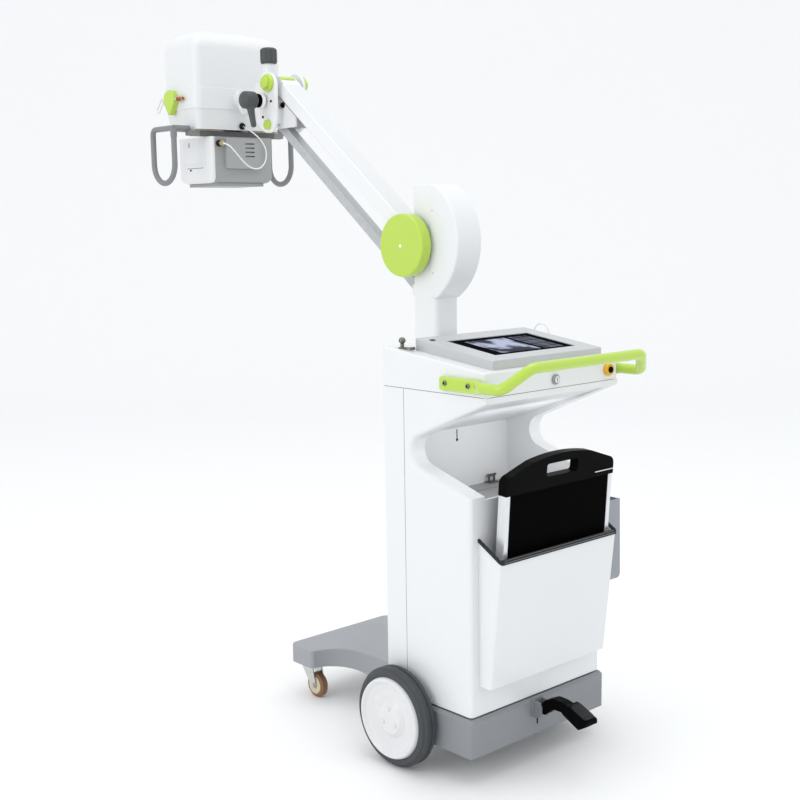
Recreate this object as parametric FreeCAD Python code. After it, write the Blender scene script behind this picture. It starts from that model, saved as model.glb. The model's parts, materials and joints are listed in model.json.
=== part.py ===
import FreeCAD, Part
import math
import os

# Mobile x-ray machine, in millimetres. Z is up, Y points the way the arm reaches,
# X points to the operator's right. All sizes are measured from the front face of the
# cabinet (y = 0), its centre plane (x = 0) and the floor (z = 0). The finished pieces
# are shifted along Y at the end, so that the origin is the centre of the footprint box.

V = FreeCAD.Vector

# Clearances
RUNNING = 0.05
SEAT_GAP = 0.3

# Cabinet and console
CABINET_WIDTH = 520.0
CABINET_DEPTH = 325.0
CABINET_BOTTOM = 190.0
CONSOLE_SEAM = 1031.0
CONSOLE_DEPTH = 379.0
CONSOLE_FRONT_TOP = 1137.0
CONSOLE_SLOPE = 0.118
SHELL_SPLIT = 83.0
SHELL_WALL = 4.0
CONSOLE_WALL = 5.0
SEAM_GROOVE = 1.6
CABINET_CORNER = 9.0
NOOK_VERTEX_Y = -20.3
NOOK_VERTEX_Z = 859.7
NOOK_ROOF_SLOPE = 0.4316
NOOK_FLOOR_SLOPE = 0.2986
NOOK_RADIUS = 45.0
NOOK_EDGE = 11.0
POCKET_HALF_WIDTH = 207.0
POCKET_BACK = 20.0
POCKET_ROOF_BACK = 886.0
POCKET_ROOF_FRONT = 1014.4
TRAY_TOP = 712.0
TRAY_THICKNESS = 8.0
TRAY_SILL = 760.0
TRAY_DISH_HALF = 150.0
TRAY_DISH_DEPTH = 3.0
DECK_THICKNESS = 4.0
KEYHOLE_TOP = 882.0
KEYHOLE_DROP = 30.0
KEYHOLE_SLOT = 4.0
KEYHOLE_HEAD = 9.0

# Screen bezel on the console
BEZEL_HALF_WIDTH = 214.0
BEZEL_FRONT = 80.0
BEZEL_REAR = 361.0
BEZEL_TOP_FRONT = 1159.0
BEZEL_SLOPE = 0.143
SCREEN_HALF_WIDTH = 157.0
SCREEN_FRONT = 140.0
SCREEN_REAR = 317.0
SCREEN_THICKNESS = 8.0
SCREEN_RECESS = 2.0
BEZEL_SLOT_LENGTH = 20.0
BEZEL_SLOT_WIDTH = 5.0

# Push handle
HANDLE_TUBE = 28.0
HANDLE_FLAT_HEIGHT = 36.0
HANDLE_FLAT_THICKNESS = 14.0
HANDLE_Z = 1058.0
HANDLE_FLAT_START = 232.0
HANDLE_FLAT_END = 352.0
HANDLE_ROUND_START = 382.0
HANDLE_BEND_Y = 446.0
HANDLE_REAR = 490.0
HANDLE_REAR_Z = 1110.0
HANDLE_RUN_HALF = 214.0
HANDLE_BEND_RADIUS = 34.0

# Controls on the rear face of the console
STOP_X = 215.0
STOP_Z = 1060.0
STOP_RING_RADIUS = 17.0
STOP_RING_DEPTH = 11.0
STOP_BUTTON_RADIUS = 8.5
STOP_STANDOFF = 4.0
STOP_TRAVEL = 3.0
KEY_Z = 1054.0
KEY_RING_RADIUS = 13.5
KEY_RING_DEPTH = 6.0
KEY_ROTOR_RADIUS = 9.0

# Rear base, platform and wheels
BASE_WIDTH = 539.0
BASE_REAR = 334.0
BASE_FRONT = 10.0
BASE_BOTTOM = 82.0
BASE_TOP = 185.0
BASE_BEVEL = 8.0
BASE_WALL = 12.0
PLATFORM_TOP = 169.5
PLATFORM_FRONT = 521.0
PLATFORM_HALF_WIDTH = 204.0
PLATFORM_THICKNESS = 55.0
PLATFORM_SIDE_LENGTH = 112.0
PLATFORM_CORNER = 26.0
PLATFORM_NECK_HALF = 99.0
PLATFORM_CURVE = 115.0
PLATFORM_HEEL_DROP = 30.0
WHEEL_RADIUS = 137.0
WHEEL_Y = -79.0
WHEEL_INNER_X = 274.5
WHEEL_WIDTH = 59.0
TYRE_WIDTH = 50.0
RIM_RADIUS = 110.0
AXLE_RADIUS = 10.0
CASTER_X = 145.0
CASTER_SWIVEL_Y = 487.0
CASTER_TRAIL = 30.0
CASTER_RADIUS = 38.0
CASTER_WIDTH = 26.0
CASTER_STEM = 6.0
CASTER_AXLE = 4.0

# Column
COLUMN_Y = 60.0
COLUMN_HALF_WIDTH = 44.0
COLUMN_HALF_DEPTH = 48.0
COLUMN_CORNER = 14.0
COLUMN_WALL = 5.0
COLUMN_TOP = 1561.0
COLUMN_STUB = 30.0
HOUSING_BOTTOM = 1250.0
HOUSING_SEAM_Y = 30.0
HOUSING_BULGE_Y = -76.0
HOUSING_FLAT = 12.0
HOUSING_WALL = 3.0
SPRING_RADIUS = 20.0
SPRING_INSET = 54.0
SPRING_ROD_LENGTH = 44.0

# Parallelogram arm: upper pivots A and B, lower pivots C and D
ARM_ANGLE = 38.3
ARM_LENGTH = 803.0
PIVOT_A_Y = 105.0
PIVOT_A_Z = 1397.0
LOWER_OFFSET_Y = 8.0
LOWER_OFFSET_Z = -127.0
TUBE_HALF_WIDTH = 35.0
TUBE_HALF_DEPTH = 23.0
TUBE_WALL = 4.0
TUBE_START = 52.0
TUBE_END_CLEAR = 34.0
COVER_THICKNESS = 3.0
FORK_THICKNESS = 10.0
FORK_RADIUS = 42.0
FORK_LENGTH = 84.0
DISC_RADIUS = 87.5
DISC_THICKNESS = 33.0
DISC_EDGE = 5.0
DISC_DIMPLE = 3.5
LINK_HALF_WIDTH = 15.0
LINK_HALF_DEPTH = 14.0
PIVOT_PIN = 10.0
LINK_PIN = 8.0

# End bracket
PLATE_INNER_X = 50.0
PLATE_THICKNESS = 10.0
PLATE_Y = 747.0
PLATE_RADIUS = 45.0
PLATE_TOP = 1929.0
PLATE_BOTTOM = 1744.0
CHANNEL_HALF_WIDTH = 32.0
CHANNEL_WALL = 6.0
CHANNEL_REAR = 640.0
CHANNEL_BOTTOM = 1756.0
CHANNEL_TIE_DEPTH = 34.0
CHANNEL_TIE_CLEAR = 40.0
KNOB_RADIUS = 26.0
KNOB_STEP_RADIUS = 18.0
CAP_RADIUS = 15.0

# Tilt block, yoke and locks
TILT_Y = 763.0
TILT_Z = 1842.0
TILT_RADIUS = 34.0
TILT_PIN = 10.0
SWIVEL_Y = 812.0
BARREL_RADIUS = 24.0
BARREL_BOTTOM = 1800.0
BARREL_TOP = 1884.0
SPINDLE = 12.0
YOKE_ARM_HALF = 19.0
YOKE_ARM_THICKNESS = 24.0
YOKE_FRONT = 930.0
YOKE_PLATE_HALF = 48.0
FLANGE_RADIUS = 52.0
FLANGE_THICKNESS = 14.0
COLLAR_RADIUS = 19.0
COLLAR_TOP = 1964.0
LOCK_KNOB_RADIUS = 27.0
LOCK_KNOB_HEIGHT = 49.0
LEVER_COLLAR_RADIUS = 23.0
LEVER_COLLAR_LENGTH = 12.0
LEVER_RING_RADIUS = 21.0
LEVER_RING_LENGTH = 8.0
LEVER_NECK_RADIUS = 14.0
LEVER_HUB_RADIUS = 27.0
LEVER_HUB_START = 95.0
LEVER_HUB_END = 143.0
LEVER_HUB_ROUND = 11.0
LEVER_STEM_X = 120.0
LEVER_LENGTH = 62.0
LEVER_STEM_TOP_RADIUS = 12.0
LEVER_STEM_TIP_RADIUS = 8.5

# Tube head
HEAD_Y = 1069.0
HEAD_HALF_WIDTH = 171.0
HEAD_HALF_DEPTH = 95.0
HEAD_CORNER = 22.0
HEAD_BOTTOM = 1768.0
BAND_BOTTOM = 1832.0
BAND_TOP = 1900.0
BAND_PROUD = 3.0
DOME_SHOULDER = 2022.0
DOME_STEPS = [(0, 0, 0), (4, 22, 0), (13, 36, 2), (30, 48, 4), (54, 57, 6), (78, 62, 8)]
HEAD_TAPER = 8.0
HEAD_WALL = 4.0
INSERT_RADIUS = 58.0
INSERT_LENGTH = 250.0
INSERT_RISE = 40.0
SADDLE_X = 80.0

# Collimator
TURNTABLE_RADIUS = 58.0
TURNTABLE_SPIGOT = 30.0
COLLIMATOR_TOP = 1745.0
COLLIMATOR_BOTTOM = 1596.0
COLLIMATOR_HALF_WIDTH = 122.0
COLLIMATOR_HALF_DEPTH = 98.0
BOTTOM_PLATE_DROP = 10.0
BODY_CORNER = 10.0
BODY_LOWER_ROUND = 22.0
PANEL_THICKNESS = 5.0
PANEL_MARGIN = 28.0
PANEL_LINE = 62.0
VENT_HALF_WIDTH = 71.0
VENT_BOTTOM = 1643.0
VENT_TOP = 1741.0
VENT_DEPTH = 12.0
VENT_SLOTS = 4
VENT_SLOT_PITCH = 13.5
VENT_SLOT_LENGTH = 38.0
VENT_SLOT_HEIGHT = 5.0
VENT_SLOT_X = 22.0
VENT_SLOT_DROP = 18.0
LOOP_X = 235.0
LOOP_Y = HEAD_Y + 8.0
LOOP_TUBE = 9.0
LOOP_HALF_WIDTH = 62.0
LOOP_TOP = 1770.0
LOOP_ARC_Z = 1659.0
LOOP_CORNER = 18.0
SLEEVE_RADIUS = 10.5
SLEEVE_INNER_X = 176.0
SLEEVE_DROP = 1.0
RAIL_DEPTH = 14.0
RAIL_FRONT = 61.0
RAIL_HEIGHT = 19.0
CABLE_RADIUS = 2.2
SOCKET_X = -94.0
SOCKET_Z = 1723.0
SOCKET_RADIUS = 9.0
SOCKET_FLANGE = 7.0
SOCKET_NUT = 6.0
SOCKET_REACH = 27.0
CABLE_ROUTE = [
    (-82.8, 928, 1716.1), (-72.6, 921, 1702.6), (-54.4, 920, 1683.9), (-32.9, 922, 1663.7),
    (-9.4, 926, 1648.9), (16.9, 930, 1640.7), (44.3, 934, 1643.5), (66.4, 938, 1661.4),
    (76.9, 942, 1686.3), (76.2, 946, 1710.9), (66.3, 951, 1732.1), (50.9, 957, 1749.9),
    (33.7, 962, 1763.4), (18.5, 968, 1773.6),
]
GROMMET_X = 7.0
GROMMET_Z = 1781.0
GROMMET_RADIUS = 6.5
GROMMET_REACH = 5.0

# Inside the cabinet
GENERATOR_HALF_WIDTH = 105.0
GENERATOR_FRONT = 70.0
GENERATOR_DEPTH = 190.0
GENERATOR_HEIGHT = 190.0
BATTERY_HALF_WIDTH = 190.0
BATTERY_DEPTH = 50.0
BATTERY_HEIGHT = 150.0

# Tape measure on the side of the tube head
TAPE_Y = 1104.0
TAPE_Z = 1866.0
TAPE_RADIUS = 31.0
TAPE_THICKNESS = 20.0
TAPE_POINT = 48.0
TAPE_BUTTON_RADIUS = 6.0
TAPE_BUTTON_REACH = 40.0
TAPE_NECK_RADIUS = 3.5
TAPE_NECK_LENGTH = 20.0
TAPE_LINK_RADIUS = 8.0
TAPE_LINK_WIRE = 2.2
TAPE_LINK_LENGTH = 40.0
TAPE_LINK_ANGLE = 48.0

# Detector bin and carrier
BIN_HALF_WIDTH = 231.0
BIN_WALL = 4.0
BIN_TOP_REAR_Z = 655.0
BIN_TOP_FRONT_Z = 609.0
BIN_TOP_Y = 403.0
BIN_BOTTOM_Y = 366.0
BIN_BOTTOM_Z = 270.0
BIN_FLOOR = 8.0
TRIM_THICKNESS = 7.0
TRIM_HEIGHT = 8.0
CARRIER_LEAN = 3.9
CARRIER_X = 8.0
CARRIER_HALF_WIDTH = 211.0
CARRIER_THICKNESS = 26.0
CARRIER_FOOT_Z = BIN_BOTTOM_Z + BIN_FLOOR + SEAT_GAP
CARRIER_LIFT_SLOPE = 5.3
CARRIER_FOOT_Y = -(BIN_BOTTOM_Y - BIN_WALL - CARRIER_THICKNESS - 1)
CARRIER_RAIL = 15.0
CARRIER_GROOVE = 6.0
CARRIER_FOOT_BAR = 14.0
CARRIER_CAP_BOTTOM = 502.0
CARRIER_SHOULDER = 546.0
CARRIER_PEAK = 584.0
CARRIER_SLOT_HALF = 62.0
CARRIER_SLOT_HEIGHT = 34.0
CARRIER_SLOT_DROP = 52.0
CARRIER_CAP_OVERHANG = 2.0
CARRIER_SHOULDER_RUN = 96.0

# Side pocket
SIDE_POCKET_TOP_THICKNESS = 68.0
SIDE_POCKET_THICKNESS = 73.0
SIDE_POCKET_REAR = 340.0
SIDE_POCKET_LENGTH = 150.0
SIDE_POCKET_TOP = 680.0
SIDE_POCKET_BOTTOM = 450.0
SIDE_POCKET_WALL = 3.0
SIDE_POCKET_ROUND = 14.0

# Brake pedal
PEDAL_X = -14.0
PEDAL_PIVOT_Y = -352.0
PEDAL_PIVOT_Z = 156.0
PEDAL_PIN = 5.0
PEDAL_HUB = 11.0
PEDAL_END = -521.0
PEDAL_EAR_GAP = 14.0
PEDAL_EAR = 4.0
PEDAL_PAD_HALF = 22.0

# Small fittings
CLASP_X = 128.0
STUD_X = -232.0
STUD_Y = -50.0
HOOP_X = 240.0
HOOP_Y = -123.0
HOOP_HALF = 27.0
HOOP_HEIGHT = 46.0
HOOP_WIRE = 2.2
READER_SLOT_X = -191.0
READER_SLOT_Y = -127.0

# Centre of the footprint box, from the brake pedal's end to the tape measure's pull link
REAR_MOST = PEDAL_END
TAPE_LINK_Y = TAPE_Y + TAPE_RADIUS + SEAT_GAP + TAPE_NECK_LENGTH
TAPE_LINK_FAR_Y = TAPE_LINK_Y + TAPE_LINK_LENGTH * math.cos(math.radians(TAPE_LINK_ANGLE))
FRONT_MOST = TAPE_LINK_FAR_Y + TAPE_LINK_RADIUS + TAPE_LINK_WIRE
ORIGIN_Y = (REAR_MOST + FRONT_MOST) / 2

NODES = {}


def add(name, shape):
    """Keeps a finished piece under its name."""
    NODES[name] = shape


# Shape helpers

def box(x0, x1, y0, y1, z0, z1):
    return Part.makeBox(x1 - x0, y1 - y0, z1 - z0, V(x0, y0, z0))


def cylinder_x(x0, x1, y, z, radius):
    return Part.makeCylinder(radius, x1 - x0, V(x0, y, z), V(1, 0, 0))


def cylinder_y(x, y0, y1, z, radius):
    return Part.makeCylinder(radius, y1 - y0, V(x, y0, z), V(0, 1, 0))


def cylinder_z(x, y, z0, z1, radius):
    return Part.makeCylinder(radius, z1 - z0, V(x, y, z0), V(0, 0, 1))


def prism_x(outline, x0, x1):
    """Extrudes a (y, z) polygon along X."""
    points = [V(x0, y, z) for y, z in outline]
    face = Part.Face(Part.makePolygon(points + [points[0]]))
    return face.extrude(V(x1 - x0, 0, 0))


def prism_y(outline, y0, y1):
    """Extrudes an (x, z) polygon along Y."""
    points = [V(x, y0, z) for x, z in outline]
    face = Part.Face(Part.makePolygon(points + [points[0]]))
    return face.extrude(V(0, y1 - y0, 0))


def edge_ends(edge):
    return edge.Vertexes[0].Point, edge.Vertexes[-1].Point


def straight_edges(shape, direction, test=None):
    """Edges that run along a direction, kept where the test of their middle point holds."""
    found = []
    for edge in shape.Edges:
        if not isinstance(edge.Curve, Part.Line):
            continue
        start, end = edge_ends(edge)
        run = end - start
        if run.Length < 1e-6:
            continue
        if run.normalize().cross(direction).Length > 1e-4:
            continue
        middle = (edge.Vertexes[0].Point + edge.Vertexes[-1].Point) * 0.5
        if test is None or test(middle):
            found.append(edge)
    return found


def fillet(shape, radius, direction, test=None):
    return shape.makeFillet(radius, straight_edges(shape, direction, test))


def rounded_box(x0, x1, y0, y1, z0, z1, radius, direction=V(0, 0, 1)):
    return fillet(box(x0, x1, y0, y1, z0, z1), radius, direction)


def stadium_x(y, z_low, z_high, radius, x0, x1):
    """Upright plate with round ends, extruded along X."""
    low = cylinder_x(x0, x1, y, z_low + radius, radius)
    high = cylinder_x(x0, x1, y, z_high - radius, radius)
    middle = box(x0, x1, y - radius, y + radius, z_low + radius, z_high - radius)
    return low.fuse([middle, high]).removeSplitter()


def rounded_path(points, radii):
    """Wire of straight runs joined by tangent arcs, one radius for each inner point."""
    edges = []
    start = points[0]
    for index, radius in enumerate(radii, start=1):
        corner = points[index]
        back = (points[index - 1] - corner).normalize()
        ahead = (points[index + 1] - corner).normalize()
        half_turn = (math.pi - back.getAngle(ahead)) / 2
        setback = radius * math.tan(half_turn)
        arc_start = corner + back * setback
        arc_end = corner + ahead * setback
        bisector = (back + ahead).normalize()
        centre = corner + bisector * (radius / math.cos(half_turn))
        arc_middle = centre - bisector * radius
        if (arc_start - start).Length > 1e-6:
            edges.append(Part.LineSegment(start, arc_start).toShape())
        edges.append(Part.Arc(arc_start, arc_middle, arc_end).toShape())
        start = arc_end
    edges.append(Part.LineSegment(start, points[-1]).toShape())
    return Part.Wire(edges)


def swept_tube(points, radii, tube_radius):
    """Round bar along a rounded path."""
    path = rounded_path(points, radii)
    heading = (points[1] - points[0]).normalize()
    section = Part.Wire(Part.Circle(points[0], heading, tube_radius).toShape())
    return path.makePipeShell([section], True, True)


def revolved_x(profile, y, z):
    """Turns an (x, radius) polygon about an axis along X."""
    points = [V(x, y, z + radius) for x, radius in profile]
    face = Part.Face(Part.makePolygon(points + [points[0]]))
    return face.revolve(V(0, y, z), V(1, 0, 0), 360)


def revolved_z(profile, x, y):
    """Turns a (radius, z) polygon about an upright axis."""
    points = [V(x + radius, y, z) for radius, z in profile]
    face = Part.Face(Part.makePolygon(points + [points[0]]))
    return face.revolve(V(x, y, 0), V(0, 0, 1), 360)


def mirrored(shape):
    """The same piece on the other side of the centre plane."""
    return shape.mirror(V(0, 0, 0), V(1, 0, 0))


def rounded_rectangle(half_x, y, half_y, z, radius):
    """Closed wire of a rectangle with round corners, at height z."""
    face = Part.makePlane(2 * half_x, 2 * half_y, V(-half_x, y - half_y, z))
    slab = face.extrude(V(0, 0, 1))
    slab = fillet(slab, radius, V(0, 0, 1))
    bottom = min(slab.Faces, key=lambda f: f.CenterOfMass.z)
    return bottom.OuterWire


# Places along the arm

ARM_COS = math.cos(math.radians(ARM_ANGLE))
ARM_SIN = math.sin(math.radians(ARM_ANGLE))
PIVOT_B_Y = PIVOT_A_Y + ARM_LENGTH * ARM_COS
PIVOT_B_Z = PIVOT_A_Z + ARM_LENGTH * ARM_SIN
PIVOT_C_Y = PIVOT_A_Y + LOWER_OFFSET_Y
PIVOT_C_Z = PIVOT_A_Z + LOWER_OFFSET_Z
PIVOT_D_Y = PIVOT_B_Y + LOWER_OFFSET_Y
PIVOT_D_Z = PIVOT_B_Z + LOWER_OFFSET_Z


def along_arm(shape, y, z):
    """Lays a piece that was drawn level, from y = 0 and z = 0, along the arm's slope."""
    laid = shape.copy()
    laid.rotate(V(0, 0, 0), V(1, 0, 0), ARM_ANGLE)
    laid.translate(V(0, y, z))
    return laid


def console_top(y):
    """Height of the console's sloping top."""
    return CONSOLE_FRONT_TOP + CONSOLE_SLOPE * y


def bezel_top(y):
    """Height of the bezel's steeper top."""
    return BEZEL_TOP_FRONT + BEZEL_SLOPE * (y + BEZEL_FRONT)


def tube_underside(y):
    """Height of the arm tube's lower face in the raised pose."""
    face_y = PIVOT_B_Y + TUBE_HALF_DEPTH * ARM_SIN
    face_z = PIVOT_B_Z - TUBE_HALF_DEPTH * ARM_COS
    return face_z + (y - face_y) * math.tan(math.radians(ARM_ANGLE))


# Cabinet

def nook_wedge():
    """Sideways C that is cut through both sides of the cabinet, behind the column."""
    reach = 500.0
    roof_z = NOOK_VERTEX_Z + NOOK_ROOF_SLOPE * reach
    floor_z = NOOK_VERTEX_Z - NOOK_FLOOR_SLOPE * reach
    outline = [
        (NOOK_VERTEX_Y, NOOK_VERTEX_Z),
        (NOOK_VERTEX_Y - reach, roof_z),
        (NOOK_VERTEX_Y - reach, floor_z),
    ]
    half = CABINET_WIDTH / 2 + 1
    wedge = prism_x(outline, -half, half)
    return fillet(wedge, NOOK_RADIUS, V(1, 0, 0), lambda m: m.y > NOOK_VERTEX_Y - 1)


def pocket_cut():
    """Space inside the nook, from the tray up to the console's floor."""
    roof_slope = (POCKET_ROOF_FRONT - POCKET_ROOF_BACK) / (CONSOLE_DEPTH - POCKET_BACK)
    reach = CONSOLE_DEPTH + 20
    tray_bottom = TRAY_TOP - TRAY_THICKNESS
    sill = CABINET_DEPTH - SHELL_WALL * 2
    outline = [
        (-POCKET_BACK, tray_bottom),
        (-POCKET_BACK, POCKET_ROOF_BACK),
        (-reach, POCKET_ROOF_BACK + roof_slope * (reach - POCKET_BACK)),
        (-reach, TRAY_SILL),
        (-sill, TRAY_SILL),
        (-sill, tray_bottom),
    ]
    return prism_x(outline, -POCKET_HALF_WIDTH, POCKET_HALF_WIDTH)


def cabinet_body():
    """The whole lower cabinet, before it is parted into its front and rear shells."""
    half = CABINET_WIDTH / 2
    lower = box(-half, half, -CABINET_DEPTH, 0, CABINET_BOTTOM, CONSOLE_SEAM)
    lip = box(-half, half, -CONSOLE_DEPTH, -CABINET_DEPTH, CONSOLE_SEAM - 90, CONSOLE_SEAM)
    body = lower.fuse(lip).removeSplitter().cut(nook_wedge())
    rim = [
        edge for edge in body.Edges
        if abs(abs(edge.CenterOfMass.x) - half) < 0.1
        and -CABINET_DEPTH < edge.CenterOfMass.y < -SHELL_SPLIT
        and 700 < edge.CenterOfMass.z < CONSOLE_SEAM - 25
    ]
    rear_corners = straight_edges(body, V(0, 0, 1), lambda m: m.y < -100 and m.z < 800)
    body = body.makeFillet(NOOK_EDGE, rim + rear_corners)
    body = fillet(body, CABINET_CORNER, V(0, 0, 1), lambda m: m.y > -1)
    body = body.cut(pocket_cut())
    inner = half - SHELL_WALL
    deck = TRAY_TOP - TRAY_THICKNESS - DECK_THICKNESS
    cavity = box(-inner, inner, -CABINET_DEPTH + SHELL_WALL, -SHELL_WALL,
                 CABINET_BOTTOM + SHELL_WALL, deck)
    return body.cut(cavity)


def seam_ring(z):
    """Shallow groove round the outside of the cabinet, half above and half below a seam."""
    half = CABINET_WIDTH / 2
    outer = box(-half - 1, half + 1, -CONSOLE_DEPTH - 1, 1, z - SEAM_GROOVE / 2, z + SEAM_GROOVE / 2)
    inner = box(-half + SEAM_GROOVE, half - SEAM_GROOVE, -CONSOLE_DEPTH + SEAM_GROOVE, -SEAM_GROOVE,
                z - SEAM_GROOVE, z + SEAM_GROOVE)
    return outer.cut(inner)


def keyhole():
    """Hanging hole in the back wall of the nook: a narrow slot above a round opening."""
    bottom = KEYHOLE_TOP - KEYHOLE_DROP
    slot = box(-KEYHOLE_SLOT / 2, KEYHOLE_SLOT / 2, -POCKET_BACK - 1, -POCKET_BACK / 2, bottom, KEYHOLE_TOP)
    head = cylinder_y(0, -POCKET_BACK - 1, -POCKET_BACK / 2, bottom, KEYHOLE_HEAD / 2)
    return slot.fuse(head)


def build_cabinet():
    half = CABINET_WIDTH / 2
    body = cabinet_body().cut(seam_ring(CONSOLE_SEAM)).cut(keyhole())
    split = -SHELL_SPLIT
    for side in (-1, 1):
        edge_x = side * half
        groove = box(min(edge_x, edge_x - side * SEAM_GROOVE), max(edge_x, edge_x - side * SEAM_GROOVE),
                     split - SEAM_GROOVE / 2, split + SEAM_GROOVE / 2, CABINET_BOTTOM, CONSOLE_SEAM)
        body = body.cut(groove)
    front_side = box(-half - 1, half + 1, split, 1, CABINET_BOTTOM - 1, CONSOLE_SEAM + 1)
    add("front_shell", body.common(front_side))
    add("rear_shell", body.cut(front_side))

    tray_sill = CABINET_DEPTH - SHELL_WALL * 2
    tray = box(-POCKET_HALF_WIDTH, POCKET_HALF_WIDTH, -tray_sill, -POCKET_BACK,
               TRAY_TOP - TRAY_THICKNESS, TRAY_TOP)
    dish = rounded_box(-TRAY_DISH_HALF, TRAY_DISH_HALF, -tray_sill + 25, -POCKET_BACK - 60,
                       TRAY_TOP - TRAY_DISH_DEPTH, TRAY_TOP + 1, 12)
    add("storage_tray", tray.cut(dish))

    half_length, depth, thickness, height, wire = 20, 24, 3, 22, 3.5
    clasp_y = -POCKET_BACK - depth / 2
    top = TRAY_TOP + thickness
    plate = rounded_box(CLASP_X - half_length, CLASP_X + half_length, clasp_y - depth / 2, clasp_y + depth / 2,
                        TRAY_TOP, top, thickness)
    posts = [cylinder_z(CLASP_X + side * half_length * 0.55, clasp_y, top - 1, TRAY_TOP + height, thickness)
             for side in (-1, 1)]
    bar = cylinder_x(CLASP_X - half_length + thickness, CLASP_X + half_length - thickness, clasp_y,
                     TRAY_TOP + height, wire)
    add("tray_clasp", plate.fuse(posts + [bar]))


def console_block(inset, bottom, roof_drop):
    """Console with a sloping top, moved in by an inset all round."""
    half = CABINET_WIDTH / 2 - inset
    rear = -CONSOLE_DEPTH + inset
    front = -inset
    outline = [
        (rear, bottom),
        (front, bottom),
        (front, console_top(front) - roof_drop),
        (rear, console_top(rear) - roof_drop),
    ]
    return prism_x(outline, -half, half)


def build_console():
    shell = console_block(0, CONSOLE_SEAM, 0)
    shell = fillet(shell, CABINET_CORNER, V(0, 0, 1))
    top_edges = [edge for edge in shell.Edges if edge.BoundBox.ZMin > console_top(-CONSOLE_DEPTH) - 1]
    shell = shell.makeFillet(4.0, top_edges)
    shell = shell.cut(console_block(CONSOLE_WALL, CONSOLE_SEAM - 1, CONSOLE_WALL))
    shell = shell.cut(seam_ring(CONSOLE_SEAM))
    rear = -CONSOLE_DEPTH
    stop_bore = cylinder_y(STOP_X, rear - 1, rear + CONSOLE_WALL + 1, STOP_Z, STOP_BUTTON_RADIUS + RUNNING)
    key_bore = cylinder_y(0, rear - 1, rear + CONSOLE_WALL + 1, KEY_Z, KEY_ROTOR_RADIUS + RUNNING)
    add("console_shell", shell.cut(stop_bore.fuse(key_bore)))

    ring = cylinder_y(STOP_X, rear - STOP_RING_DEPTH, rear, STOP_Z, STOP_RING_RADIUS)
    front_edges = [edge for edge in ring.Edges if edge.BoundBox.YMax < rear - STOP_RING_DEPTH + 0.1]
    ring = ring.makeFillet(3.0, front_edges)
    ring = ring.cut(cylinder_y(STOP_X, rear - 30, rear + 1, STOP_Z, STOP_BUTTON_RADIUS + RUNNING))
    add("stop_ring", ring)
    button = cylinder_y(STOP_X, rear - STOP_RING_DEPTH - STOP_STANDOFF, rear + CONSOLE_WALL + 3,
                        STOP_Z, STOP_BUTTON_RADIUS)
    outer_edges = [edge for edge in button.Edges if edge.BoundBox.YMax < rear - STOP_RING_DEPTH]
    add("stop_button", button.makeFillet(1.5, outer_edges))

    bezel = cylinder_y(0, rear - KEY_RING_DEPTH, rear, KEY_Z, KEY_RING_RADIUS)
    bezel_edges = [edge for edge in bezel.Edges if edge.BoundBox.YMax < rear - KEY_RING_DEPTH + 0.1]
    bezel = bezel.makeFillet(1.5, bezel_edges)
    bezel = bezel.cut(cylinder_y(0, rear - 30, rear + 1, KEY_Z, KEY_ROTOR_RADIUS + RUNNING))
    add("key_ring", bezel)
    rotor = cylinder_y(0, rear - KEY_RING_DEPTH - 2, rear + CONSOLE_WALL + 6, KEY_Z, KEY_ROTOR_RADIUS)
    key_slot = box(-1.2, 1.2, rear - KEY_RING_DEPTH - 3, rear - KEY_RING_DEPTH + 3, KEY_Z - 5, KEY_Z + 5)
    add("key_rotor", rotor.cut(key_slot))


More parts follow.
